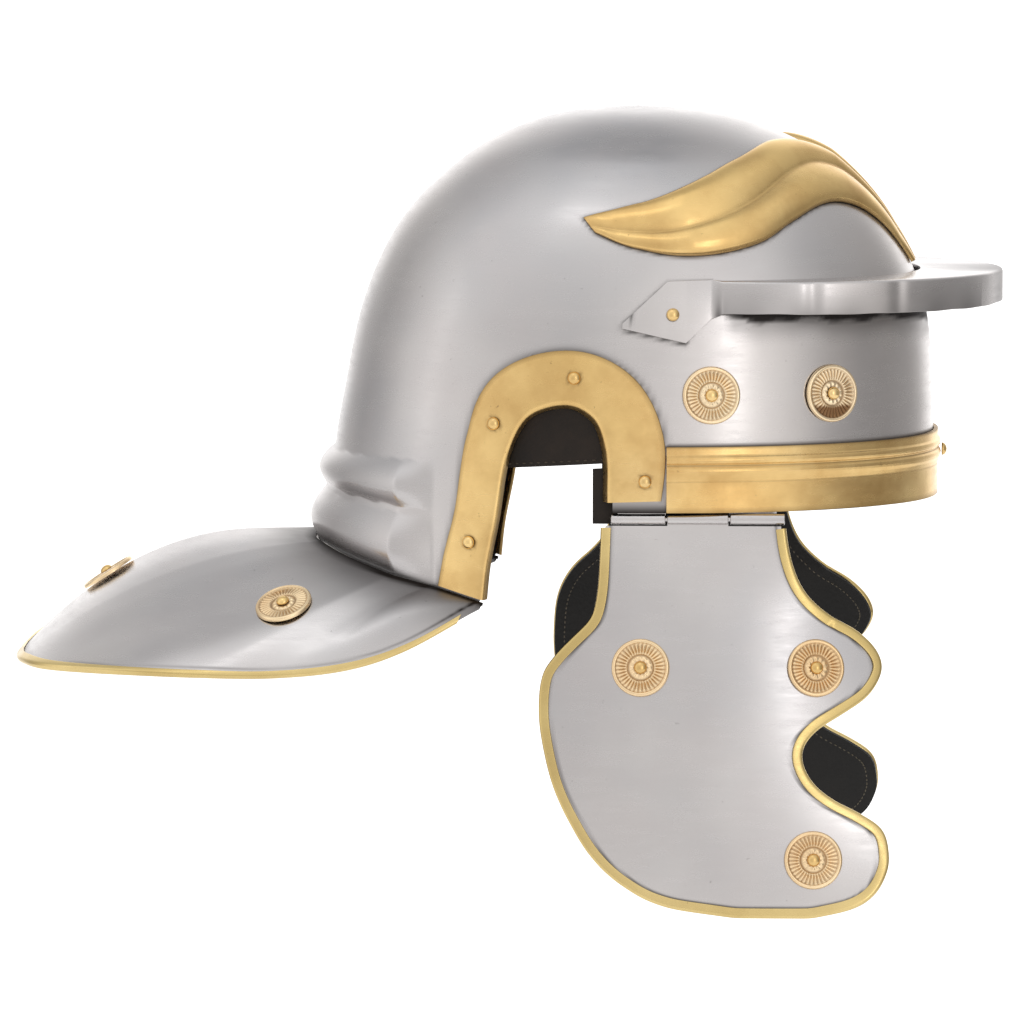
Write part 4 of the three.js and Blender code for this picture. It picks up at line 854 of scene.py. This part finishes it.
def peak():
    under = PEAK_TOP_Z - SHEET
    reach = PEAK_REACH_X - PEAK_CENTRE_X
    end = math.acos((LUG_FRONT_X - PEAK_CENTRE_X) / reach)
    turn = np.linspace(-end, end, 321)
    side, swing = np.where(turn < 0, -1, 1), np.abs(np.sin(turn))
    x = PEAK_CENTRE_X + reach * np.cos(turn)
    bowl_turn = turn / end * turn_at_x(LUG_FRONT_X, PEAK_TOP_Z)
    gap = lerp(GAP, PEAK_FRONT_GAP, np.cos(bowl_turn) ** 4)
    right, both = (film(x - at, length, depth) for at, length, depth in PEAK_PINCH)
    crease = right * (turn < 0) + both
    ragged = 0.45 * waves(turn * 26, turn * 9, 31) + 0.45

    def face(z, inset):
        inside = x - CROWN_X < bowl_section(z)[0] - SHEET
        clear = np.where(inside, half_width(x, z) + 2 * GAP + SHEET, 0)
        y = np.maximum(PEAK_HALF_WIDTH * swing, clear) - (inset + crease) * swing
        return stack(x - (inset + crease * 0.5) * np.cos(turn), side * y, z)

    def inner(z):
        p = bowl_at(bowl_turn, under + 0 * turn, gap)
        return stack(p[:, 0], p[:, 1], z)

    arc = np.stack([face(PEAK_LOW_Z, 0), face(PEAK_TOP_Z, 0), inner(PEAK_TOP_Z), inner(under),
                    face(under, SHEET), face(PEAK_LOW_Z, SHEET)], 1)
    arc[:, 0, 2] += ragged
    arc[:, 5, 2] += ragged

    def lug(s):
        lx, lz, hz = lug_rows(np.linspace(0, len(LUG_OUTLINE) - 1, LUG_KNOTS))
        uz = np.maximum(hz - SHEET, lz)
        back, front = GAP + LUG_STANDOFF, GAP + LUG_STANDOFF + SHEET
        pick = ((lz, front), (hz, front), (hz, back), (uz, back), (uz, back), (lz, back))
        return np.stack([side_point(lx, z, s, o) for z, o in pick], 1)

    right, left = lug(-1), lug(1)[::-1]
    t = ease(np.linspace(0, 1, 12))[1:-1, None, None]
    sections = np.concatenate([right, lerp(right[-1], arc[0], t), arc, lerp(arc[-1], left[0], t), left])
    count = len(sections)
    run = np.minimum(np.arange(count), np.arange(count)[::-1])[:, None]
    sharp = np.full((count, 1), 0.3)
    bend = sharp + 1.1 * ease((run - LUG_KNOTS) / 10)
    sections = rounded(sections, [sharp, bend, sharp, 0 * sharp + 1e-4, bend * 0.5, sharp], 4)
    piece = loft("steel_peak", sections, smooth_angle=40)
    x, y, z = vertices(piece).T
    # painted shade along the lower edge of the flange, and darker towards the front end
    lip_shade = film(z - PEAK_LOW_Z, 0.8, 0.75) * (np.abs(y) > 40)
    dress(piece, STEEL, "helmet", ["brow_guard"], np.maximum(lip_shade, 0.45 * ease((x - 145) / 6)))


peak()


# Eyebrows: hollow-looking relief with one valley along the whole length

VALLEY = np.array([(0, 0.62), (0.2, 0.63), (0.35, 0.58), (0.5, 0.46), (0.62, 0.4), (0.8, 0.36), (1, 0.36)])


def eyebrow(hand, side):
    share, across = np.linspace(0, 1, 221)[:, None], np.linspace(0, 1, 61)[None, :]

    def place(across, out):
        low_turn, low, high_turn, high = (np.radians(smooth(EYEBROW_OUTLINE, k, share)) for k in (1, 2, 3, 4))
        turn, lift = lerp(low_turn, high_turn, across), lerp(low, high, across)
        return bowl_at(side * turn, BOWL_HEIGHT * np.sin(lift), GAP + out)

    def lobe(t, depth, crest=0.5):
        rise = np.sqrt(np.maximum(1 - (1 - np.minimum(t / crest, 1)) ** 2, 0))
        return rise * (1 - depth * np.clip((t - crest) / (1 - crest), 0, 1) ** 1.8)

    valley = smooth(VALLEY, 1, share)
    upper = np.clip(across / valley, 0, 1)
    lower = np.clip((1 - across) / (1 - valley), 0, 1)
    pinch = 0.45 + film(share - 0.42, 0.16, 0.2)
    relief = np.where(across < valley, lobe(upper, pinch), 0.92 * lobe(lower, pinch - 0.05))
    ends = np.clip(share / 0.22, 0.3, 1) * np.clip((1 - share) / 0.33, 0.3, 1)
    tip = np.sqrt(np.clip(share / 0.035, 0, 1))
    height = EYEBROW_SHEET * (0.35 + 0.65 * tip) + EYEBROW_RELIEF * 0.97 * relief * ends * (0.4 + 0.6 * tip)
    piece = slab(f"brass_eyebrow_{hand}", place(across, height), place(across, 0 * height), smooth_angle=50)
    points = vertices(piece)
    middle = place(valley, EYEBROW_SHEET + EYEBROW_RELIEF * 0.45)[:, 0]
    dirt_and_shade = np.maximum(film(near_polyline(points, middle), 1.2, 0.3),
                      film(near_polyline(points, eyebrow_edge(side)), 1.0, 0.6))
    dress(piece, BRASS, "helmet", [f"eyebrow_{hand}"], dirt_and_shade)


# Leather: headband, tabs and stitches

LEATHER_OUT = -(EAR_FLANGE_DEPTH + GAP + 0.1)
LINING_TAB_OUT = LEATHER_OUT - 0.9


def ball_mesh(radii, columns=6, rows=5):
    a, b = np.meshgrid(circle(columns), np.linspace(0, np.pi, rows), indexing="ij")
    p = np.stack([np.cos(b), np.sin(b) * np.cos(a), np.sin(b) * np.sin(a)], -1) * radii
    return p.reshape(-1, 3), grid_faces(columns, rows, 0, True, False)


def stitches(name, places, along, out, body, radii, thread):
    """Thread stitches as one piece: small long beads that lie on the leather."""
    base, base_faces = ball_mesh(radii)
    across = np.cross(out, along)
    points = [seat + base @ np.stack(axes) for seat, *axes in zip(places, along, across, out)]
    faces = [[k * len(base) + v for v in face] for k in range(len(points)) for face in base_faces]
    dress(make(name, np.concatenate(points), faces, 60), thread, body, [])


def headband():
    back, front_out = LEATHER_OUT - HEADBAND_THICKNESS, LEATHER_OUT - 0.35

    def low_at(turn):
        return HEADBAND_LOW_Z + HEADBAND_TILT * bowl_at(turn, 0 * turn, 0)[..., 0]

    def wall_of(turn, z, out):
        return bowl_at(turn, z, out - nape_bulge(bowl_at(turn, z, 0)[..., 0], z))

    turn, t = circle(360)[:, None], np.linspace(0, 1, 10)[None, :]
    wrinkle = 0.35 * waves(turn * 14, t * 3, 41) * np.sin(np.pi * t)
    z = low_at(turn) + HEADBAND_HEIGHT * t
    piece = slab("leather_headband", wall_of(turn, z, front_out + wrinkle), wall_of(turn, z, back), True, 40)
    dress(piece, BAND_LEATHER, "helmet", ["headband_liner"])
    turn = circle(250)
    z = low_at(turn) + 1.6
    seats = np.concatenate([wall_of(turn, z, front_out), wall_of(turn, z, back)])
    ahead = unit(bowl_at(turn + 0.01, z, 0) - bowl_at(turn - 0.01, z, 0))
    normal = bowl_normal_at(turn, z)
    stitches("headband_stitches", seats, np.concatenate([ahead, ahead]), np.concatenate([normal, -normal]),
             "helmet", (0.8, 0.32, 0.3), DARK_THREAD)


headband()


def lining_tab(hand, side):
    rear_x = CHEEK_REAR_X + CHEEK_LENGTH * CHEEK_REAR_EDGE[0, 1] - LINING_TAB_BEHIND
    front_x = CHEEK_REAR_X + CHEEK_LENGTH * CHEEK_FRONT_EDGE[0, 1]
    x, t = np.linspace(rear_x, front_x, 60)[:, None], np.linspace(0, 1, 20)[None, :]
    z = lerp(LINING_TAB_FOOT_Z, HEADBAND_LOW_Z + HEADBAND_TILT * x - HEADBAND_THICKNESS, t)
    sag = LEATHER_SAG * waves(x / 9, z / 9, 51)
    front = side_point(x, z, side, LINING_TAB_OUT - LEATHER_SAG + sag)
    back = side_point(x, z, side, LINING_TAB_OUT - LINING_THICKNESS + LEATHER_SAG + sag)
    dress(slab(f"leather_tab_{hand}", front, back), BAND_LEATHER, "helmet", [f"lining_tab_{hand}"])


# Hinges

def merge(parts):
    points, faces, start = [], [], 0
    for p, f in parts:
        points.append(p)
        faces += [[k + start for k in face] for face in f]
        start += len(p)
    return np.concatenate(points), faces


def tube_parts(side, start, length, outer, inner):
    """A hinge knuckle along X with slightly eased ends."""
    ease_by = 0.25
    shoulder, end = outer - ease_by, length - ease_by
    profile = [(inner, 0), (shoulder, 0), (outer, ease_by),
               (outer, end), (shoulder, length), (inner, length), (inner, 0)]
    return lathe(profile, (HINGE_REAR_X + start, side * HINGE_Y, HINGE_Z), (1, 0, 0), 40)


def plate_parts(front, back):
    sections = np.concatenate([front, back[:, ::-1]], 1)
    return sections.reshape(-1, 3), bar_faces(*sections.shape[:2])


KNUCKLE_FROM = (HINGE_LENGTH - KNUCKLE_LENGTH) / 2
KNUCKLE_TO = KNUCKLE_FROM + KNUCKLE_LENGTH
OUTER_KNUCKLE = KNUCKLE_FROM - KNUCKLE_GAP
EDGE_CLEAR, LEAF_INSET, LEAF_MIDDLE, TAB_REACH, PIN_CHAMFER = 0.5, 2.6, 35, 0.7, 0.2
CHEEK_TOP = (BARREL_RADIUS + EDGE_CLEAR) / CHEEK_DEPTH


def hinge(hand, side):
    face = -(SHEET + LEAF_GAP)
    foot = -(LEAF_SHEET + EDGE_CLEAR)
    near = np.array([LEAF_INSET, OUTER_KNUCKLE / 2, OUTER_KNUCKLE, OUTER_KNUCKLE + KNUCKLE_GAP])
    x = HINGE_REAR_X + np.concatenate([near, [LEAF_MIDDLE], HINGE_LENGTH - near[::-1]])[:, None]
    low = np.array([foot] * 3 + [GAP] * 3 + [foot] * 3)[:, None]
    z = np.concatenate([low, 0 * low + LEAF_HEIGHT], 1)
    parts = [plate_parts(side_point(x, z, side, face), side_point(x, z, side, face - LEAF_SHEET))]
    for start in (0, KNUCKLE_TO + KNUCKLE_GAP):
        at = HINGE_REAR_X + np.linspace(start, start + OUTER_KNUCKLE, 8)
        root = half_width(at, 0.0) + face - LEAF_SHEET / 2
        ends = [np.stack([stack(at, side * root, -GAP - LEAF_SHEET + lift),
                          stack(at, side * (HINGE_Y - TAB_REACH * BARREL_RADIUS), HINGE_Z + lift)], 1)
                for lift in (LEAF_SHEET / 2, -LEAF_SHEET / 2)]
        parts += [plate_parts(*ends), tube_parts(side, start, OUTER_KNUCKLE, BARREL_RADIUS, PIN_RADIUS + GAP)]
    leaf = make(f"steel_hinge_leaf_{hand}", *merge(parts), 40)
    dress(leaf, STEEL, "helmet", [f"hinge_leaf_{hand}"])
    end, thin = HINGE_LENGTH - PIN_CHAMFER, PIN_RADIUS - PIN_CHAMFER
    pin = [(0, 0), (thin, 0), (PIN_RADIUS, PIN_CHAMFER),
           (PIN_RADIUS, end), (thin, HINGE_LENGTH), (0, HINGE_LENGTH)]
    points, faces = lathe(pin, (HINGE_REAR_X, side * HINGE_Y, HINGE_Z), (1, 0, 0), 24)
    dress(make(f"steel_hinge_pin_{hand}", points, faces, 40), STEEL, "helmet", [f"hinge_pin_{hand}"])


# Cheek guards

def cheek_grid(side, inset, out, top, rows=190, columns=70, uneven=0.0, seed=0):
    end = 1 - inset / CHEEK_DEPTH
    t = np.linspace(0, 1, rows)
    down = top + (end - top) * (1 - (1 - t) ** 1.35)
    rear, front = cheek_edges(side, down, inset)
    fore = lerp(rear[:, None], front[:, None], np.linspace(0, 1, columns)[None, :])
    level = out + uneven * waves(down[:, None] * 9, fore * 8, seed) * np.ones_like(fore)
    return cheek_skin(side, down[:, None] + 0 * fore, fore, level)


def cheek_path(side, top):
    """Outline from the rear of the top edge round the bottom to the front, evenly spaced and softened."""
    down = np.linspace(top, 1, 600)
    rear = smooth(CHEEK_REAR_EDGE, 1 if side < 0 else 2, down)
    front = smooth(CHEEK_FRONT_EDGE, 1, down)
    path = np.concatenate([np.stack([down, rear], 1), np.stack([down, front], 1)[::-1]])
    scaled = path * (CHEEK_DEPTH, CHEEK_LENGTH)
    run = np.concatenate([[0], np.cumsum(np.linalg.norm(np.diff(scaled, axis=0), axis=1))])
    even = np.linspace(0, run[-1], 620)
    path = np.stack([np.interp(even, run, path[:, k]) for k in range(2)], 1)
    kernel = np.exp(-(np.arange(-8, 9) / 4.0) ** 2)
    kernel /= kernel.sum()
    soft = np.stack([np.convolve(path[:, k], kernel, "same") for k in range(2)], 1)
    soft[:9], soft[-9:] = path[:9], path[-9:]
    return np.clip(soft[:, 0], 0, 1), soft[:, 1]


def cheek_guard(hand, side):
    body = f"cheek_{hand}"
    inset = TRIM_REACH + 2 * GAP
    faces = (SHEET / 2, -SHEET / 2)
    sheet = [cheek_grid(side, inset, out, CHEEK_TOP, uneven=PLATE_DENT, seed=61) for out in faces]
    slope = math.tan(math.radians(CHEEK_SPLAY))
    start, length = KNUCKLE_FROM + KNUCKLE_GAP, KNUCKLE_LENGTH - 2 * KNUCKLE_GAP
    at = HINGE_REAR_X + np.linspace(start, start + length, 8)[:, None]
    depth = np.array([GAP + 1.3, CHEEK_TOP * 1.15 * CHEEK_DEPTH])[None, :]
    tongue = [stack(at, side * (HINGE_Y + out + slope * depth), HINGE_Z - depth) for out in faces]
    knuckle = tube_parts(side, start, length, BARREL_RADIUS, PIN_RADIUS + GAP)
    piece = make(f"steel_cheek_plate_{hand}", *merge([plate_parts(*sheet), plate_parts(*tongue), knuckle]), 40)
    path_down, path_fore = cheek_path(side, CHEEK_TOP * 1.3)
    line = cheek_point(side, path_down, path_fore)
    edge = near_polyline(vertices(piece), line[::2]) - TRIM_WIDTH - 0.1
    dress(piece, STEEL, body, [f"cheek_plate_{hand}"], film(edge, 0.55, 0.7))

    along = unit(np.gradient(line, axis=0))
    normal = cheek_normal(side, path_down, path_fore)
    inward = unit(np.cross(along, normal)) * side
    trim_bar(f"brass_cheek_trim_{hand}", line, inward, normal, 71 + side, body, [f"cheek_trim_{hand}"])

    face, top = -(TRIM_HALF + GAP), CHEEK_TOP * 1.8
    outer = cheek_grid(side, GAP, face, top, 110, 36)
    inner = cheek_grid(side, GAP, face - LINING_THICKNESS, top, 110, 36, LEATHER_SAG, 81)
    piece = slab(f"leather_cheek_lining_{hand}", outer, inner, smooth_angle=40)
    dress(piece, LEATHER, body, [f"cheek_lining_{hand}"])

    stitch_inset, spread = 4.4, np.array([CHEEK_DEPTH, CHEEK_LENGTH])
    path = np.stack([path_down, path_fore], 1) * spread
    tangent = unit(np.gradient(path, axis=0))
    inside = (path + np.stack([-tangent[:, 1], tangent[:, 0]], 1) * stitch_inset) / spread
    pick = np.arange(8, len(path_down) - 8, 3)
    pick = pick[(inside[pick, 0] > top + 0.02) & (inside[pick, 0] < 0.97)]
    (d, f), step = inside[pick].T, 0.004 * tangent[pick].T
    level = face - LINING_THICKNESS + LEATHER_SAG * waves(d * 9, f * 8, 81)
    seat = cheek_skin(side, d, f, level)
    ahead = unit(cheek_skin(side, d + step[0], f + step[1], level) - seat)
    stitches(f"lining_stitches_{hand}", seat, ahead, -cheek_normal(side, d, f), body, (0.7, 0.3, 0.28), THREAD)


# Rosettes and rivets

ROSETTE_PROFILE = np.array([
    (0, 0), (1, 0), (1, 0.75), (0.985, 1.2), (0.955, 1.5), (0.92, 1.6), (0.885, 1.5), (0.86, 1.2),
    (0.84, 1.0), (0.8, 0.95), (0.75, 1.0), (0.69, 1.05), (0.63, 1.1), (0.57, 1.15), (0.52, 1.2),
    (0.48, 1.15), (0.455, 0.9), (0.43, 0.7), (0.4, 0.75), (0.375, 1.1), (0.34, 1.35), (0.3, 1.4),
    (0.26, 1.3), (0.23, 1.2), (0.12, 1.2), (0, 1.25)])
FLUTES, BEADS = 36, 12
ROSETTE_FACETS = 6 * FLUTES


def fluted(r):
    return ease((r - 0.47) / 0.05) * ease((0.86 - r) / 0.05)


def rosette(name, place, normal, level, body, stained=False):
    normal = unit(np.asarray(normal))
    seat = place + normal * (level + GAP)
    phase = np.random.default_rng(sum(ord(c) for c in name)).uniform(0, 6.28)

    def ripple(angle, radius):
        r = radius / ROSETTE_RADIUS
        beads = ease((r - 0.24) / 0.04) * ease((0.4 - r) / 0.04)
        flutes = 0.26 * fluted(r) * (np.cos(FLUTES * angle + phase) - 0.2)
        return (r > 0.02) * (flutes + 0.16 * beads * (np.cos(BEADS * angle) - 1))

    points, faces = lathe(ROSETTE_PROFILE * (ROSETTE_RADIUS, 1), seat, normal, ROSETTE_FACETS, ripple)
    piece = make(f"gilt_rosette_{name}", points, faces, 50)
    # joining seams reorders the points, so dirt and painted shade are found from each point's radius and
    # angle; the flutes and grooves are darkened, part patina and part painted shade
    q = vertices(piece) - seat
    a, b = (q @ axis for axis in cross_axes(normal))
    r, angle = np.hypot(a, b) / ROSETTE_RADIUS, np.arctan2(b, a)
    dirt_and_shade = 0.6 * fluted(r) * (0.5 - 0.5 * np.cos(FLUTES * angle + phase)) ** 2
    dirt_and_shade += film(r - 0.43, 0.035, 0.75) + film(r - 0.855, 0.02, 0.4) + film(r - 0.24, 0.02, 0.3)
    if stained:
        low = ease((-q[:, 2] / ROSETTE_RADIUS - 0.35) / 0.15)
        dirt_and_shade += 0.9 * ease((r - 0.44) / 0.06) * ease((0.88 - r) / 0.05) * low
    dress(piece, GILT, body, [f"rosette_{name}"], np.clip(dirt_and_shade, 0, 0.95))
    rivet(f"rosette_rivet_{name}", seat + normal * (0.8 * ROSETTE_HEIGHT), normal, 0, body)


def rivet(name, place, normal, level, body, foot=0.12):
    normal = unit(np.asarray(normal))
    seat = place + normal * (level + GAP)
    dome = [(0, 0), (RIVET_RADIUS * 0.97, 0)]
    dome += [(RIVET_RADIUS * math.cos(a), foot + (RIVET_HEIGHT - foot) * math.sin(a))
             for a in np.linspace(0, np.pi / 2, 10)]
    points, faces = lathe(dome, seat, normal, 32)
    piece = make(f"brass_{name}", points, faces, 50)
    dress(piece, BRASS, body, [name], film((vertices(piece) - seat) @ normal, 0.35, 0.6))


for hand, side in SIDES:
    ear_guard(hand, side)
    eyebrow(hand, side)
    lining_tab(hand, side)
    hinge(hand, side)
    cheek_guard(hand, side)
    seats, normals_at = ear_rivet_seats(side)
    for k, (seat, n) in enumerate(zip(seats, normals_at)):
        rivet(f"ear_rivet_{hand}_{k + 1}", seat, n, GAP + EAR_GUARD_SHEET, "helmet")
    for name, fore, up in BOWL_ROSETTES:
        x, z = CROWN_X + BOWL_FRONT * fore, BOWL_HEIGHT * up
        y = side * half_width(x, z)
        stained = name == "front" and side < 0
        rosette(f"{name}_{hand}", np.array([x, y, z], float), bowl_normal(x, y, z), 0, "helmet", stained)
    lug_x = LUG_FRONT_X - LUG_LENGTH * LUG_RIVET_AFT
    lug_z = PEAK_TOP_Z - PEAK_FLANGE * (1 - LUG_RIVET_UP)
    lug_y = side * half_width(lug_x, lug_z)
    lug = np.array([lug_x, lug_y, lug_z], float)
    rivet(f"brow_guard_rivet_{hand}", lug, bowl_normal(*lug), GAP + LUG_STANDOFF + SHEET, "helmet")
    for k, (down, fore) in enumerate(CHEEK_ROSETTES):
        down, fore = np.array(down), np.array(fore)
        place, normal = cheek_point(side, down, fore), cheek_normal(side, down, fore)
        rosette(f"cheek_{hand}_{k + 1}", place, normal, SHEET / 2, f"cheek_{hand}")

for name, along, across in NECK_ROSETTES:
    along, across = np.array(float(along)), np.array(float(across))
    rosette(name, neck_point(along, across), neck_normal(along, across), SHEET / 2, "helmet")
band_middle = bowl_at(0.0, BAND_HEIGHT * BAND_RIVET_UP, 0)
rivet("brow_band_rivet", band_middle, (1.0, 0.0, 0.0), GAP + BAND_SHEET + BAND_PROFILE[5][1], "helmet")


# Studio

def flat_material(name, colour, glow):
    def build(tree, shader):
        at = place_of(tree)
        tone = ramp(tree, noise(tree, at, 2.0, 2.0), ((0.3, colour), (0.8, tuple(0.98 * c for c in colour))))
        tree.links.new(tone, shader.inputs["Base Color"])
        tree.links.new(tone, shader.inputs["Emission Color"])
        shader.inputs["Emission Strength"].default_value = glow
        shader.inputs["Roughness"].default_value = 0.9
    return nodes_of(name, build)


FLOOR_RADIUS, FLOOR_Z = 1.7, -0.62
bpy.ops.mesh.primitive_circle_add(vertices=96, radius=FLOOR_RADIUS, fill_type="NGON", location=(0, 0, FLOOR_Z))
floor = bpy.context.object
floor.name = "floor"
floor.data.materials.append(flat_material("floor_white", (0.86, 0.86, 0.86), 0.35))

AZIMUTH, ELEVATION, PIXELS, FOCAL, SENSOR = math.radians(2), math.radians(6), 1024, 6700, 36
CAMERA_AT = (47.0775, -2735.9027, 278.4729)
LEVEL = math.cos(ELEVATION)
VIEW = Vector((-math.sin(AZIMUTH) * LEVEL, math.cos(AZIMUTH) * LEVEL, -math.sin(ELEVATION)))
camera = bpy.data.objects.new("camera", bpy.data.cameras.new("camera"))
bpy.context.scene.collection.objects.link(camera)
camera.location = Vector(CAMERA_AT) / 1000
camera.rotation_euler = VIEW.to_track_quat("-Z", "Y").to_euler()
camera.data.sensor_width = SENSOR
camera.data.lens = FOCAL / PIXELS * SENSOR
camera.data.clip_end = 100
bpy.context.scene.camera = camera


def softbox(name, place, target, size, radiance):
    lamp = bpy.data.lights.new(name, "AREA")
    lamp.shape, lamp.size, lamp.size_y = "RECTANGLE", size[0], size[1]
    lamp.energy = radiance * math.pi * size[0] * size[1]
    holder = bpy.data.objects.new(name, lamp)
    bpy.context.scene.collection.objects.link(holder)
    holder.location = place
    holder.rotation_euler = (Vector(target) - Vector(place)).to_track_quat("-Z", "Y").to_euler()


softbox("left_box", (-2.9, -1.1, 0.7), (0, 0, 0.03), (0.45, 1.8), 0.2)
softbox("right_box", (1.15, -2.7, 0.5), (0, 0, 0.03), (0.3, 1.5), 1.5)
softbox("top_box", (-0.6, -1.3, 2.6), (0, 0, 0.05), (0.9, 0.5), 0.6)


# Brightness of the studio near the horizon and high up, by degrees round Z from the camera's side to +X
AROUND = (
    (-180, 1.5), (-160, 1.25), (-150, 0.95), (-140, 0.65), (-120, 0.5), (-100, 0.66), (-88, 0.86),
    (-78, 1.0), (-60, 0.98), (-40, 0.84), (-20, 0.78), (-5, 0.82), (10, 1.0), (20, 1.18), (38, 1.0),
    (50, 0.72), (60, 0.5), (80, 0.36), (100, 0.36), (120, 0.42), (135, 0.6), (150, 1.25), (164, 1.55),
    (180, 1.5))
OVERHEAD = (
    (-180, 0.54), (-160, 0.57), (-140, 0.63), (-120, 0.73), (-100, 0.87), (-80, 0.98), (-60, 1.06),
    (-35, 1.15), (0, 1.05), (40, 0.95), (80, 0.8), (120, 0.7), (160, 0.57), (180, 0.54))
BRIGHTEST = 2.0  # the ramps hold shares of this


def studio_world():
    world = bpy.data.worlds.new("studio")
    bpy.context.scene.world = world
    world.use_nodes = True
    tree = world.node_tree
    coord = node(tree, "ShaderNodeTexCoord")
    parts = node(tree, "ShaderNodeSeparateXYZ")
    tree.links.new(coord.outputs["Generated"], parts.inputs[0])
    flip = node(tree, "ShaderNodeMath", {1: -1.0}, operation="MULTIPLY")
    tree.links.new(parts.outputs["Y"], flip.inputs[0])
    turn = node(tree, "ShaderNodeMath", operation="ARCTAN2")
    tree.links.new(parts.outputs["X"], turn.inputs[0])
    tree.links.new(flip.outputs[0], turn.inputs[1])
    share = span(tree, turn.outputs[0], -math.pi, math.pi, 0, 1)
    tints = ((AROUND, (1.01, 1.0, 0.995)), (OVERHEAD, (0.985, 1.0, 1.015)))
    low, high = (ramp(tree, share, [((at + 180) / 360, tuple(level * c / BRIGHTEST for c in tint))
                                    for at, level in table]) for table, tint in tints)
    lift = node(tree, "ShaderNodeMath", operation="ARCSINE")
    tree.links.new(parts.outputs["Z"], lift.inputs[0])
    tone = mix(tree, span(tree, lift.outputs[0], math.radians(15), math.radians(62), 0, 1), low, high)
    background = tree.nodes["Background"]
    tree.links.new(tone, background.inputs["Color"])
    background.inputs["Strength"].default_value = BRIGHTEST


studio_world()
bpy.context.scene.view_settings.view_transform = "Standard"
bpy.context.scene.view_settings.look = "None"
